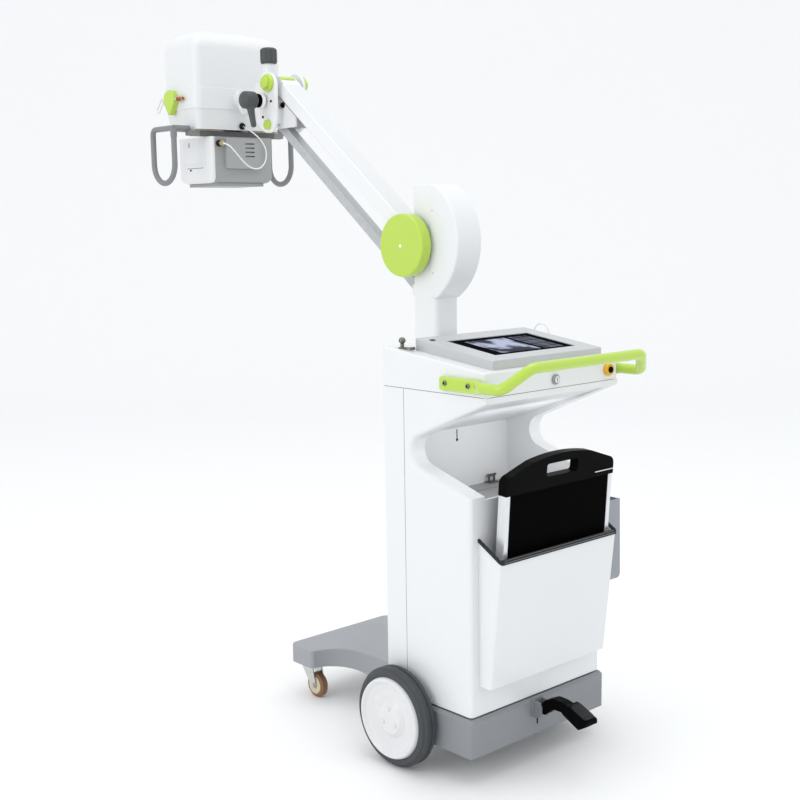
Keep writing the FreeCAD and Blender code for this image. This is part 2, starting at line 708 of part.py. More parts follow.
def build_screen():
    def bezel_prism(half, front, rear, drop, bottom_drop):
        outline = [
            (-rear, console_top(-rear) - bottom_drop),
            (-front, console_top(-front) - bottom_drop),
            (-front, bezel_top(-front) - drop),
            (-rear, bezel_top(-rear) - drop),
        ]
        return prism_x(outline, -half, half)

    bezel = bezel_prism(BEZEL_HALF_WIDTH, BEZEL_FRONT, BEZEL_REAR, 0, 0)
    bezel = fillet(bezel, 5.0, V(0, 0, 1))
    top_edges = [edge for edge in bezel.Edges if edge.BoundBox.ZMin > bezel_top(-BEZEL_REAR) - 6
                 and edge.BoundBox.ZMax - edge.BoundBox.ZMin < 60
                 and abs(edge.CenterOfMass.z - bezel_top(edge.CenterOfMass.y)) < 1]
    bezel = bezel.makeFillet(2.5, top_edges)
    glass_seat = SCREEN_THICKNESS + SCREEN_RECESS
    floor = bezel_prism(BEZEL_HALF_WIDTH + 1, BEZEL_FRONT - 1, BEZEL_REAR + 1, glass_seat, 20)
    recess = bezel_prism(SCREEN_HALF_WIDTH, SCREEN_FRONT, SCREEN_REAR, -5, 0).cut(floor)
    reader_slot = box(-BEZEL_SLOT_LENGTH / 2, BEZEL_SLOT_LENGTH / 2, -BEZEL_SLOT_WIDTH / 2,
                      BEZEL_SLOT_WIDTH / 2, -8, 20)
    reader_slot.translate(V(READER_SLOT_X, READER_SLOT_Y, bezel_top(READER_SLOT_Y)))
    add("screen_bezel", bezel.cut(recess).cut(reader_slot))

    glass = bezel_prism(SCREEN_HALF_WIDTH, SCREEN_FRONT, SCREEN_REAR, SCREEN_RECESS, 0).cut(floor)
    add("touch_screen", glass)

    stud_z = console_top(STUD_Y)
    profile = [(0, -1), (11, -1), (11, 3), (5, 4), (5, 13), (8, 16), (10, 20), (8, 26), (4, 29), (0, 30)]
    stud = revolved_z([(r, stud_z + z) for r, z in profile], STUD_X, STUD_Y)
    tongue = rounded_box(STUD_X - 6, STUD_X + 8, STUD_Y - 44, STUD_Y, stud_z + 1, stud_z + 4, 3)
    hook = cylinder_x(STUD_X - 6, STUD_X + 8, STUD_Y - 38, stud_z + 2, 4)
    under = console_block(0, CONSOLE_SEAM, 0)
    add("park_stud", stud.fuse([tongue, hook]).cut(under))

    rear_foot = HOOP_Y - HOOP_HALF
    front_foot = HOOP_Y + HOOP_HALF
    hoop_top = console_top(HOOP_Y) + HOOP_HEIGHT
    hoop_points = [
        V(HOOP_X, rear_foot, console_top(rear_foot) - 1),
        V(HOOP_X, rear_foot, hoop_top),
        V(HOOP_X, front_foot, hoop_top),
        V(HOOP_X, front_foot, console_top(front_foot) - 1),
    ]
    hoop = swept_tube(hoop_points, [HOOP_HALF * 0.9] * 2, HOOP_WIRE)
    add("cable_hoop", hoop.cut(under))


def build_handle():
    """Lime tube: flattened where it is screwed to the console's sides, round at the rear."""
    flat_x = CABINET_WIDTH / 2 + HANDLE_FLAT_THICKNESS / 2
    round_x = CABINET_WIDTH / 2 + HANDLE_TUBE / 2 + SEAT_GAP
    half_straight = (HANDLE_FLAT_HEIGHT - HANDLE_FLAT_THICKNESS) / 2
    radius = HANDLE_FLAT_THICKNESS / 2

    def flat_wire(y):
        top = HANDLE_Z + half_straight
        low = HANDLE_Z - half_straight
        right = Part.LineSegment(V(flat_x + radius, y, low), V(flat_x + radius, y, top))
        over = Part.Arc(V(flat_x + radius, y, top), V(flat_x, y, top + radius), V(flat_x - radius, y, top))
        left = Part.LineSegment(V(flat_x - radius, y, top), V(flat_x - radius, y, low))
        under = Part.Arc(V(flat_x - radius, y, low), V(flat_x, y, low - radius), V(flat_x + radius, y, low))
        return Part.Wire([piece.toShape() for piece in (right, over, left, under)])

    def round_wire(y):
        r = HANDLE_TUBE / 2
        rise = r * math.sin(math.radians(45))
        right = Part.Arc(V(round_x + rise, y, HANDLE_Z - rise), V(round_x + r, y, HANDLE_Z),
                         V(round_x + rise, y, HANDLE_Z + rise))
        over = Part.Arc(V(round_x + rise, y, HANDLE_Z + rise), V(round_x, y, HANDLE_Z + r),
                        V(round_x - rise, y, HANDLE_Z + rise))
        left = Part.Arc(V(round_x - rise, y, HANDLE_Z + rise), V(round_x - r, y, HANDLE_Z),
                        V(round_x - rise, y, HANDLE_Z - rise))
        under = Part.Arc(V(round_x - rise, y, HANDLE_Z - rise), V(round_x, y, HANDLE_Z - r),
                         V(round_x + rise, y, HANDLE_Z - rise))
        return Part.Wire([piece.toShape() for piece in (right, over, left, under)])

    flat = Part.Face(flat_wire(-HANDLE_FLAT_END)).extrude(V(0, HANDLE_FLAT_END - HANDLE_FLAT_START, 0))
    neck = Part.makeLoft([flat_wire(-HANDLE_FLAT_END), round_wire(-HANDLE_ROUND_START)], True)
    bend_x = round_x
    points = [
        V(bend_x, -HANDLE_ROUND_START, HANDLE_Z),
        V(bend_x, -HANDLE_BEND_Y, HANDLE_Z),
        V(HANDLE_RUN_HALF, -HANDLE_REAR, HANDLE_REAR_Z),
        V(-HANDLE_RUN_HALF, -HANDLE_REAR, HANDLE_REAR_Z),
        V(-bend_x, -HANDLE_BEND_Y, HANDLE_Z),
        V(-bend_x, -HANDLE_ROUND_START, HANDLE_Z),
    ]
    run = swept_tube(points, [HANDLE_BEND_RADIUS] * 4, HANDLE_TUBE / 2)
    end = flat.fuse(neck)
    add("push_handle", run.fuse([end, mirrored(end)]).removeSplitter())


# Base, platform and wheels

def build_base():
    half = BASE_WIDTH / 2
    outer = rounded_box(-half, half, -BASE_REAR, -BASE_FRONT, BASE_BOTTOM, BASE_TOP, 10)
    top_edges = [edge for edge in outer.Edges if edge.BoundBox.ZMin > BASE_TOP - 0.1]
    outer = outer.makeChamfer(BASE_BEVEL, top_edges)
    hollow = box(-half + BASE_WALL, half - BASE_WALL, -BASE_REAR + BASE_WALL, -BASE_FRONT - BASE_WALL,
                 BASE_BOTTOM + BASE_WALL / 2, BASE_TOP - BASE_WALL)
    base = outer.cut(hollow)
    riser = box(-half + 40, half - 40, -CABINET_DEPTH + 22, -BASE_FRONT - 12, BASE_TOP - 0.5, CABINET_BOTTOM)
    axle_boss = [cylinder_x(side * (half - 40) - 28, side * (half - 40) + 28, WHEEL_Y, WHEEL_RADIUS, 24)
                 for side in (-1, 1)]
    base = base.fuse(axle_boss + [riser])
    base = base.cut(cylinder_x(-half - 30, half + 30, WHEEL_Y, WHEEL_RADIUS, AXLE_RADIUS))
    pedal_slot = rounded_box(PEDAL_X - 3, PEDAL_X + 3, -BASE_REAR - 1, -BASE_REAR + BASE_WALL / 2, 108, 134, 2,
                             V(0, 1, 0))
    add("rear_base", base.cut(pedal_slot))

    tip = WHEEL_INNER_X + WHEEL_WIDTH - 16
    add("rear_axle", cylinder_x(-tip, tip, WHEEL_Y, WHEEL_RADIUS, AXLE_RADIUS))


def build_platform():
    half = PLATFORM_HALF_WIDTH
    neck = PLATFORM_NECK_HALF
    head_rear = PLATFORM_FRONT - PLATFORM_SIDE_LENGTH
    low = BASE_BOTTOM
    slab = box(-half, half, -BASE_FRONT, PLATFORM_FRONT, low, PLATFORM_TOP)
    centre_x = neck + PLATFORM_CURVE
    centre_y = head_rear - math.sqrt(PLATFORM_CURVE ** 2 - (centre_x - half) ** 2)
    for side in (-1, 1):
        scoop = cylinder_z(side * centre_x, centre_y, low - 1, PLATFORM_TOP + 1, PLATFORM_CURVE)
        straight = box(neck, half + 50, -BASE_FRONT - 1, centre_y, low - 1, PLATFORM_TOP + 1)
        slab = slab.cut(scoop).cut(straight if side > 0 else mirrored(straight))
    flat_bottom = PLATFORM_TOP - PLATFORM_THICKNESS
    under = prism_x([
        (-BASE_FRONT - 1, low - 1),
        (PLATFORM_FRONT + 1, low - 1),
        (PLATFORM_FRONT + 1, flat_bottom),
        (head_rear - 12, flat_bottom),
        (-BASE_FRONT - 1, flat_bottom - PLATFORM_HEEL_DROP),
    ], -half - 1, half + 1)
    slab = slab.cut(under)
    slab = fillet(slab, PLATFORM_CORNER, V(0, 0, 1), lambda m: m.y > PLATFORM_FRONT - 1)
    slab = fillet(slab, 12.0, V(0, 0, 1), lambda m: abs(m.x) > half - 1 and m.y < PLATFORM_FRONT - 60)
    top_edges = [edge for edge in slab.Edges
                 if edge.BoundBox.ZMin > PLATFORM_TOP - 0.1 and edge.CenterOfMass.y > -BASE_FRONT + 1]
    slab = slab.makeFillet(3.0, top_edges)
    bores = [cylinder_z(side * CASTER_X, CASTER_SWIVEL_Y, flat_bottom - 1, flat_bottom + 38,
                        CASTER_STEM + RUNNING) for side in (-1, 1)]
    column_bore = cylinder_z(0, COLUMN_Y, PLATFORM_TOP - 62, PLATFORM_TOP + 1, COLUMN_STUB + RUNNING)
    add("front_platform", slab.cut(column_bore.fuse(bores)))


def build_rear_wheels():
    bore = AXLE_RADIUS + RUNNING
    depth = WHEEL_WIDTH - 16 + SEAT_GAP
    tyre_seat = RIM_RADIUS + 2
    x0 = WHEEL_INNER_X
    rim_profile = [
        (x0 + 2, bore), (x0 + 2, 40), (x0 + 18, 46), (x0 + 26, 96), (x0 + 8, 100), (x0 + 2, tyre_seat),
        (x0 + TYRE_WIDTH - 2, tyre_seat), (x0 + WHEEL_WIDTH - 4, RIM_RADIUS),
        (x0 + WHEEL_WIDTH, RIM_RADIUS - 3), (x0 + WHEEL_WIDTH, RIM_RADIUS - 7),
        (x0 + WHEEL_WIDTH - 8, RIM_RADIUS - 16), (x0 + WHEEL_WIDTH - 14, 78),
        (x0 + WHEEL_WIDTH - 15, 56), (x0 + WHEEL_WIDTH - 9, 46), (x0 + WHEEL_WIDTH - 6, 42),
        (x0 + WHEEL_WIDTH - 6, 0), (x0 + depth, 0), (x0 + depth, bore),
    ]
    rim = revolved_x(rim_profile, WHEEL_Y, WHEEL_RADIUS)
    for index in range(3):
        angle = math.radians(90 + 120 * index)
        y = WHEEL_Y + 27 * math.cos(angle)
        z = WHEEL_RADIUS + 27 * math.sin(angle)
        bump = cylinder_x(x0 + WHEEL_WIDTH - 8, x0 + WHEEL_WIDTH - 2, y, z, 6)
        outer_edges = [edge for edge in bump.Edges if edge.BoundBox.XMin > x0 + WHEEL_WIDTH - 3]
        rim = rim.fuse(bump.makeFillet(2.5, outer_edges))
    tyre_profile = [
        (x0 + 2, tyre_seat), (x0, 124), (x0 + 4, 131), (x0 + 9, WHEEL_RADIUS),
        (x0 + 19, WHEEL_RADIUS), (x0 + 20, WHEEL_RADIUS - 3), (x0 + 24, WHEEL_RADIUS - 3),
        (x0 + 25, WHEEL_RADIUS), (x0 + 36, WHEEL_RADIUS), (x0 + 41, WHEEL_RADIUS - 3),
        (x0 + 43, WHEEL_RADIUS - 7), (x0 + 47, WHEEL_RADIUS - 8), (x0 + TYRE_WIDTH, WHEEL_RADIUS - 12),
        (x0 + TYRE_WIDTH, RIM_RADIUS + 6), (x0 + TYRE_WIDTH - 2, tyre_seat),
    ]
    tyre = revolved_x(tyre_profile, WHEEL_Y, WHEEL_RADIUS)
    add("rear_wheel_right", rim)
    add("rear_wheel_left", mirrored(rim))
    add("rear_tyre_right", tyre)
    add("rear_tyre_left", mirrored(tyre))


def build_casters():
    axle_y = CASTER_SWIVEL_Y - CASTER_TRAIL
    flat_bottom = PLATFORM_TOP - PLATFORM_THICKNESS
    head_top = flat_bottom - SEAT_GAP
    plate_top = head_top - 5
    plate_low = plate_top - 7
    cheek_gap = CASTER_WIDTH / 2 + 2.5
    cheek_wall = 3.5
    for side, word in ((-1, "left"), (1, "right")):
        x = side * CASTER_X
        race = revolved_z([(0, plate_low), (30, plate_low), (31, plate_low + 3), (30, plate_top),
                           (26, head_top), (0, head_top)], x, CASTER_SWIVEL_Y)
        stem = cylinder_z(x, CASTER_SWIVEL_Y, plate_low, flat_bottom + 34, CASTER_STEM)
        cheek_outline = [
            (CASTER_SWIVEL_Y + 24, plate_low + 3), (CASTER_SWIVEL_Y + 24, plate_low - 10),
            (axle_y + 9, CASTER_RADIUS - 6), (axle_y - 2, CASTER_RADIUS - 10), (axle_y - 10, CASTER_RADIUS - 4),
            (axle_y - 11, CASTER_RADIUS + 6), (CASTER_SWIVEL_Y - 26, plate_low + 3),
        ]
        cheeks = []
        for turn in (-1, 1):
            near = x + turn * cheek_gap
            far = near + turn * cheek_wall
            cheek = prism_x(cheek_outline, min(near, far), max(near, far))
            cheeks.append(fillet(cheek, 5.0, V(1, 0, 0), lambda m: m.z < plate_low - 1))
        axle = cylinder_x(x - cheek_gap - 8, x + cheek_gap + 8, axle_y, CASTER_RADIUS, CASTER_AXLE)
        heads = [cylinder_x(x + turn * (cheek_gap + 5) - 2.5, x + turn * (cheek_gap + 5) + 2.5,
                            axle_y, CASTER_RADIUS, 7) for turn in (-1, 1)]
        add("caster_fork_" + word, race.fuse([stem, axle] + cheeks + heads))
        half = CASTER_WIDTH / 2
        profile = [
            (x - half - 2, CASTER_AXLE + RUNNING), (x - half - 2, 10), (x - half + 2, 12), (x - half + 2, 24),
            (x - half, 27), (x - half, 33), (x - half + 4, CASTER_RADIUS), (x + half - 4, CASTER_RADIUS),
            (x + half, 33), (x + half, 27), (x + half - 2, 24), (x + half - 2, 12), (x + half + 2, 10),
            (x + half + 2, CASTER_AXLE + RUNNING),
        ]
        add("caster_wheel_" + word, revolved_x(profile, axle_y, CASTER_RADIUS))


def build_pedal():
    """Foot lever behind the base, between two ears that are part of the base."""
    rear = -BASE_REAR
    y = PEDAL_PIVOT_Y
    z = PEDAL_PIVOT_Z
    ears = []
    for turn in (-1, 1):
        near = PEDAL_X + turn * PEDAL_EAR_GAP
        far = near + turn * PEDAL_EAR
        outline = [(rear, z - 24), (rear, z + 24), (y - 6, z + 22), (y - 12, z + 10), (y - 12, z - 10), (y - 4, z - 22)]
        ears.append(prism_x(outline, min(near, far), max(near, far)))
    reach = PEDAL_EAR_GAP + PEDAL_EAR
    back = box(PEDAL_X - reach - 8, PEDAL_X + reach + 8, rear - 4, rear, z - 18, z + 26)
    pin = cylinder_x(PEDAL_X - reach - 3, PEDAL_X + reach + 3, y, z, PEDAL_PIN)
    add("rear_base", NODES["rear_base"].fuse(ears + [back, pin]))

    arm_half = PEDAL_EAR_GAP - SEAT_GAP
    hub = cylinder_x(PEDAL_X - arm_half, PEDAL_X + arm_half, y, z, PEDAL_HUB)
    arm = prism_x([
        (y + 4, z - 8), (y + 2, z + 9), (y - 22, z + 34), (y - 48, z + 46), (y - 78, z + 45), (y - 107, z + 38),
        (y - 92, z + 16), (y - 50, z + 16), (y - 20, z - 8),
    ], PEDAL_X - arm_half, PEDAL_X + arm_half)
    arm = fillet(arm, 4.0, V(1, 0, 0), lambda m: m.y < y - 10)
    pad = prism_x([
        (y - 84, z + 18), (y - 100, z + 44), (y - 112, z + 42), (PEDAL_END, z + 16), (PEDAL_END, z + 4),
        (y - 141, z - 12),
    ], PEDAL_X - PEDAL_PAD_HALF, PEDAL_X + PEDAL_PAD_HALF)
    pad = fillet(pad, 4.0, V(1, 0, 0))
    lever = hub.fuse([arm, pad])
    add("brake_pedal", lever.cut(cylinder_x(PEDAL_X - reach, PEDAL_X + reach, y, z, PEDAL_PIN + RUNNING)))


# Things carried at the rear

def bin_outline(inset, top_rise):
    """Side view of the detector bin, moved in by an inset."""
    rear = -CABINET_DEPTH
    return [
        (rear, BIN_TOP_REAR_Z + top_rise),
        (rear, BIN_BOTTOM_Z + (BIN_FLOOR if inset else 0)),
        (-BIN_BOTTOM_Y + inset, BIN_BOTTOM_Z + (BIN_FLOOR if inset else 0)),
        (-BIN_TOP_Y + inset, BIN_TOP_FRONT_Z + top_rise),
    ]


def build_bin():
    outer = prism_x(bin_outline(0, 0), -BIN_HALF_WIDTH, BIN_HALF_WIDTH)
    front_edges = [edge for edge in outer.Edges
                   if edge.CenterOfMass.y < -BIN_BOTTOM_Y + 1 and abs(edge.CenterOfMass.x) > BIN_HALF_WIDTH - 1
                   and edge.BoundBox.ZMax - edge.BoundBox.ZMin > 100]
    outer = outer.makeFillet(8.0, front_edges)
    inner = prism_x(bin_outline(BIN_WALL, 60), -BIN_HALF_WIDTH + BIN_WALL, BIN_HALF_WIDTH - BIN_WALL)
    add("detector_bin", outer.cut(inner))

    run = BIN_TOP_Y - CABINET_DEPTH
    drop = BIN_TOP_REAR_Z - BIN_TOP_FRONT_Z
    band_outline = [
        (-CABINET_DEPTH, BIN_TOP_REAR_Z), (-BIN_TOP_Y - 3, BIN_TOP_FRONT_Z - 3 * drop / run),
        (-BIN_TOP_Y - 3, BIN_TOP_FRONT_Z + TRIM_HEIGHT - 3 * drop / run),
        (-CABINET_DEPTH, BIN_TOP_REAR_Z + TRIM_HEIGHT),
    ]
    out = BIN_HALF_WIDTH + 3
    band = prism_x(band_outline, -out, out)
    band = fillet(band, 10.0, V(0, 0, 1), lambda m: m.y < -BIN_TOP_Y)
    gap = box(-out + TRIM_THICKNESS, out - TRIM_THICKNESS, -BIN_TOP_Y - 3 + TRIM_THICKNESS, 0, 500, 800)
    add("bin_trim", band.cut(gap))

    side = CABINET_WIDTH / 2
    rear = -SIDE_POCKET_REAR
    front = rear + SIDE_POCKET_LENGTH
    wall = SIDE_POCKET_WALL
    pocket = prism_y([
        (side, SIDE_POCKET_BOTTOM), (side + SIDE_POCKET_THICKNESS, SIDE_POCKET_BOTTOM),
        (side + SIDE_POCKET_TOP_THICKNESS, SIDE_POCKET_TOP), (side, SIDE_POCKET_TOP),
    ], rear, front)
    pocket = fillet(pocket, SIDE_POCKET_ROUND, V(0, 1, 0),
                    lambda m: m.z < SIDE_POCKET_BOTTOM + 1 and m.x > side + 1)
    hollow = prism_y([
        (side + wall, SIDE_POCKET_BOTTOM + wall), (side + SIDE_POCKET_THICKNESS - wall, SIDE_POCKET_BOTTOM + wall),
        (side + SIDE_POCKET_TOP_THICKNESS - wall, SIDE_POCKET_TOP + 1), (side + wall, SIDE_POCKET_TOP + 1),
    ], rear + wall, front - wall)
    hollow = fillet(hollow, SIDE_POCKET_ROUND - wall, V(0, 1, 0),
                    lambda m: m.z < SIDE_POCKET_BOTTOM + wall + 1 and m.x > side + wall + 1)
    add("side_pocket", pocket.cut(hollow))


def leaned(shape):
    """Stands a piece that was drawn upright at the carrier's foot, leaning back as in the bin."""
    placed = shape.copy()
    placed.rotate(V(0, 0, 0), V(1, 0, 0), CARRIER_LEAN)
    placed.translate(V(CARRIER_X, CARRIER_FOOT_Y, CARRIER_FOOT_Z))
    return placed


def build_carrier():
    """Detector carrier, drawn upright with its front face at y = 0 and its foot at z = 0."""
    half = CARRIER_HALF_WIDTH
    inner = half - CARRIER_RAIL
    thick = CARRIER_THICKNESS
    lip = 4.0
    frame = box(-half, half, -thick, 0, -lip, CARRIER_CAP_BOTTOM)
    window = box(-inner, inner, -thick - 1, 1, CARRIER_FOOT_BAR, CARRIER_CAP_BOTTOM + 1)
    groove = box(-inner - CARRIER_GROOVE, inner + CARRIER_GROOVE, -thick + lip, -lip, CARRIER_FOOT_BAR,
                 CARRIER_CAP_BOTTOM + 1)
    floor = box(-half - 20, half + 40, CARRIER_FOOT_Y - thick - 20, CARRIER_FOOT_Y + 20, CARRIER_FOOT_Z - 20,
                CARRIER_FOOT_Z)
    add("carrier_frame", leaned(frame.cut(window).cut(groove)).cut(floor))

    gap = 0.2
    panel = box(-inner, inner, -thick + 2, -2, CARRIER_FOOT_BAR, CARRIER_CAP_BOTTOM)
    tongue = box(-inner - CARRIER_GROOVE + gap, inner + CARRIER_GROOVE - gap, -thick + lip + gap, -lip - gap,
                 CARRIER_FOOT_BAR, CARRIER_CAP_BOTTOM)
    add("detector_panel", leaned(panel.fuse(tongue)))

    reach = half + CARRIER_CAP_OVERHANG
    knee = reach - CARRIER_SHOULDER_RUN
    knee_z = CARRIER_PEAK - 6
    corners = [
        V(-knee, 0, knee_z), V(-reach, 0, CARRIER_SHOULDER), V(-reach, 0, CARRIER_CAP_BOTTOM),
        V(reach, 0, CARRIER_CAP_BOTTOM), V(reach, 0, CARRIER_SHOULDER), V(knee, 0, knee_z),
    ]
    sides = [Part.LineSegment(a, b).toShape() for a, b in zip(corners, corners[1:])]
    arch = Part.Arc(V(knee, 0, knee_z), V(0, 0, CARRIER_PEAK + 5), V(-knee, 0, knee_z)).toShape()
    cap = Part.Face(Part.Wire(sides + [arch])).extrude(V(0, -thick - CARRIER_CAP_OVERHANG, 0))
    cap = fillet(cap, 22.0, V(0, 1, 0), lambda m: abs(m.x) > reach - 1 and m.z > CARRIER_SHOULDER - 1)
    slot_z = CARRIER_PEAK - CARRIER_SLOT_DROP
    slot = rounded_box(-CARRIER_SLOT_HALF, CARRIER_SLOT_HALF, -thick - 10, 10, slot_z,
                       slot_z + CARRIER_SLOT_HEIGHT, 8, V(0, 1, 0))
    add("carrier_cap", leaned(cap.cut(slot)))


# Column

def column_section(inset, z0, z1):
    half_x = COLUMN_HALF_WIDTH - inset
    half_y = COLUMN_HALF_DEPTH - inset
    return rounded_box(-half_x, half_x, COLUMN_Y - half_y, COLUMN_Y + half_y, z0, z1, COLUMN_CORNER - inset)


def build_column():
    foot = PLATFORM_TOP + SEAT_GAP
    tube = column_section(0, foot, COLUMN_TOP)
    top_edges = [edge for edge in tube.Edges if edge.BoundBox.ZMin > COLUMN_TOP - 0.1]
    tube = tube.makeFillet(2.0, top_edges)
    tube = tube.cut(column_section(COLUMN_WALL, foot + 20, COLUMN_TOP - COLUMN_WALL))
    stub = cylinder_z(0, COLUMN_Y, PLATFORM_TOP - 61, foot + 1, COLUMN_STUB)
    tube = tube.fuse(stub)
    front = COLUMN_Y + COLUMN_HALF_DEPTH
    link_room = LINK_HALF_WIDTH + 2
    slot = box(-link_room, link_room, PIVOT_C_Y - 34, front + 1, PIVOT_C_Z - 50, PIVOT_C_Z + 48)
    tube = tube.cut(slot)
    lug_thickness = 8.0
    lugs = []
    for side in (-1, 1):
        near = side * link_room
        far = near + side * lug_thickness
        plate = prism_x([
            (front - 20, PIVOT_C_Z - 26), (front, PIVOT_C_Z - 26), (PIVOT_C_Y + 16, PIVOT_C_Z - 12),
            (PIVOT_C_Y + 16, PIVOT_C_Z + 12), (front, PIVOT_C_Z + 26), (front - 20, PIVOT_C_Z + 26),
        ], min(near, far), max(near, far))
        lugs.append(fillet(plate, 6.0, V(1, 0, 0), lambda m: m.y > front + 4))
    tube = tube.fuse(lugs)
    bearing_set_back = 15.0
    bearing_radius = 30.0
    tube = tube.fuse(cylinder_x(-COLUMN_HALF_WIDTH, COLUMN_HALF_WIDTH, PIVOT_A_Y - bearing_set_back, PIVOT_A_Z,
                                bearing_radius))
    tube = tube.cut(cylinder_x(-90, 90, PIVOT_A_Y, PIVOT_A_Z, PIVOT_PIN))
    tube = tube.cut(cylinder_x(-40, 40, PIVOT_C_Y, PIVOT_C_Z, LINK_PIN))
    pin_end = PLATE_INNER_X + 5
    upper_pin = cylinder_x(-pin_end, pin_end, PIVOT_A_Y, PIVOT_A_Z, PIVOT_PIN)
    reach = link_room + lug_thickness + 2
    lower_pin = cylinder_x(-reach, reach, PIVOT_C_Y, PIVOT_C_Z, LINK_PIN)
    add("column_tube", Part.makeCompound([tube, upper_pin, lower_pin]))

    half = COLUMN_HALF_WIDTH + HOUSING_WALL

    def housing(inset, half_width):
        low = HOUSING_BOTTOM + inset
        high = COLUMN_TOP - inset
        bulge = HOUSING_BULGE_Y + inset
        start = V(-half_width, HOUSING_SEAM_Y, low)
        corner_low = V(-half_width, HOUSING_FLAT, low)
        corner_high = V(-half_width, HOUSING_FLAT, high)
        end = V(-half_width, HOUSING_SEAM_Y, high)
        middle = V(-half_width, bulge, (low + high) / 2)
        pieces = [
            Part.LineSegment(start, corner_low), Part.Arc(corner_low, middle, corner_high),
            Part.LineSegment(corner_high, end), Part.LineSegment(end, start),
        ]
        face = Part.Face(Part.Wire([piece.toShape() for piece in pieces]))
        return face.extrude(V(2 * half_width, 0, 0))

    cover = housing(0, half)
    side_edges = [edge for edge in cover.Edges
                  if abs(abs(edge.CenterOfMass.x) - half) < 0.1 and edge.CenterOfMass.y < HOUSING_SEAM_Y - 1]
    cover = cover.makeFillet(6.0, side_edges)
    column_rear = COLUMN_Y - COLUMN_HALF_DEPTH
    hollow = housing(HOUSING_WALL, COLUMN_HALF_WIDTH)
    keep_clear = box(-COLUMN_HALF_WIDTH, COLUMN_HALF_WIDTH, column_rear, HOUSING_SEAM_Y + 1,
                     HOUSING_BOTTOM - 1, COLUMN_TOP + 1)
    add("balance_housing", cover.cut(hollow).cut(keep_clear))

    spring_y = column_rear - SPRING_RADIUS - 3
    spring_low = HOUSING_BOTTOM + SPRING_INSET
    spring_high = COLUMN_TOP - SPRING_INSET
    barrel = cylinder_z(0, spring_y, spring_low, spring_high - SPRING_ROD_LENGTH, SPRING_RADIUS)
    rod = cylinder_z(0, spring_y, spring_high - SPRING_ROD_LENGTH - 1, spring_high, 8)
    feet = [box(-16, 16, spring_y - 10, column_rear, z, z + 12) for z in (spring_low, spring_high - 12)]
    add("balance_spring", barrel.fuse([rod] + feet))


# Arm

def build_arm():
    start = TUBE_START
    end = ARM_LENGTH - TUBE_END_CLEAR
    outer = rounded_box(-TUBE_HALF_WIDTH, TUBE_HALF_WIDTH, start, end, -TUBE_HALF_DEPTH,
                        TUBE_HALF_DEPTH, 6, V(0, 1, 0))
    inner = box(-TUBE_HALF_WIDTH + TUBE_WALL, TUBE_HALF_WIDTH - TUBE_WALL, start + 14, end - 20,
                -TUBE_HALF_DEPTH + TUBE_WALL, TUBE_HALF_DEPTH - TUBE_WALL)
    recess = box(-TUBE_HALF_WIDTH + 3, TUBE_HALF_WIDTH - 3, start + 30, end - 6,
                 TUBE_HALF_DEPTH - COVER_THICKNESS, TUBE_HALF_DEPTH + 1)
    knuckle_half = TUBE_HALF_WIDTH - 2
    knuckle = cylinder_x(-knuckle_half, knuckle_half, ARM_LENGTH, 0, TUBE_HALF_DEPTH)
    neck = box(-knuckle_half, knuckle_half, end - 2, ARM_LENGTH, -TUBE_HALF_DEPTH, TUBE_HALF_DEPTH)
    tube = outer.cut(inner).cut(recess).fuse([neck, knuckle])
    tube = tube.cut(cylinder_x(-90, 90, ARM_LENGTH, 0, PIVOT_PIN + RUNNING))
    add("arm_tube", along_arm(tube, PIVOT_A_Y, PIVOT_A_Z))

    cover = box(-TUBE_HALF_WIDTH + 3, TUBE_HALF_WIDTH - 3, start + 30, end - 6,
                TUBE_HALF_DEPTH - COVER_THICKNESS, TUBE_HALF_DEPTH)
    add("arm_cover", along_arm(cover, PIVOT_A_Y, PIVOT_A_Z))

    ear_inner = COLUMN_HALF_WIDTH + HOUSING_WALL + 1.0
    ears = []
    for side in (-1, 1):
        near = side * ear_inner
        far = near + side * FORK_THICKNESS
        low, high = min(near, far), max(near, far)
        hub = cylinder_x(low, high, 0, 0, FORK_RADIUS)
        blade = prism_x([
            (0, -FORK_RADIUS), (0, FORK_RADIUS), (FORK_LENGTH, TUBE_HALF_DEPTH - 3),
            (FORK_LENGTH, -TUBE_HALF_DEPTH + 3),
        ], low, high)
        pad_near = side * TUBE_HALF_WIDTH
        pad = box(min(pad_near, near), max(pad_near, near), start + 10, FORK_LENGTH,
                  -TUBE_HALF_DEPTH + 6, TUBE_HALF_DEPTH - 6)
        ears.append(hub.fuse([blade, pad]))
    fork = Part.makeCompound(ears)
    fork = fork.cut(cylinder_x(-90, 90, 0, 0, PIVOT_PIN + RUNNING))
    add("arm_fork", along_arm(fork, PIVOT_A_Y, PIVOT_A_Z))

    disc_inner = ear_inner + FORK_THICKNESS
    disc = cylinder_x(disc_inner, disc_inner + DISC_THICKNESS, PIVOT_A_Y, PIVOT_A_Z, DISC_RADIUS)
    outer_edges = [edge for edge in disc.Edges if edge.BoundBox.XMin > disc_inner + DISC_THICKNESS - 0.1]
    disc = disc.makeFillet(DISC_EDGE, outer_edges)
    face = disc_inner + DISC_THICKNESS
    disc = disc.cut(cylinder_x(face - 1.5, face + 1, PIVOT_A_Y, PIVOT_A_Z, DISC_DIMPLE))
    add("disc_covers", Part.makeCompound([disc, mirrored(disc)]))

    link_length = ARM_LENGTH
    bar = box(-LINK_HALF_WIDTH, LINK_HALF_WIDTH, 0, link_length, -LINK_HALF_DEPTH, LINK_HALF_DEPTH)
    ends = [cylinder_x(-LINK_HALF_WIDTH, LINK_HALF_WIDTH, s, 0, LINK_HALF_DEPTH) for s in (0, link_length)]
    bar = bar.fuse(ends).removeSplitter()
    for s in (0, link_length):
        bar = bar.cut(cylinder_x(-40, 40, s, 0, LINK_PIN + RUNNING))
    add("lower_link", along_arm(bar, PIVOT_C_Y, PIVOT_C_Z))


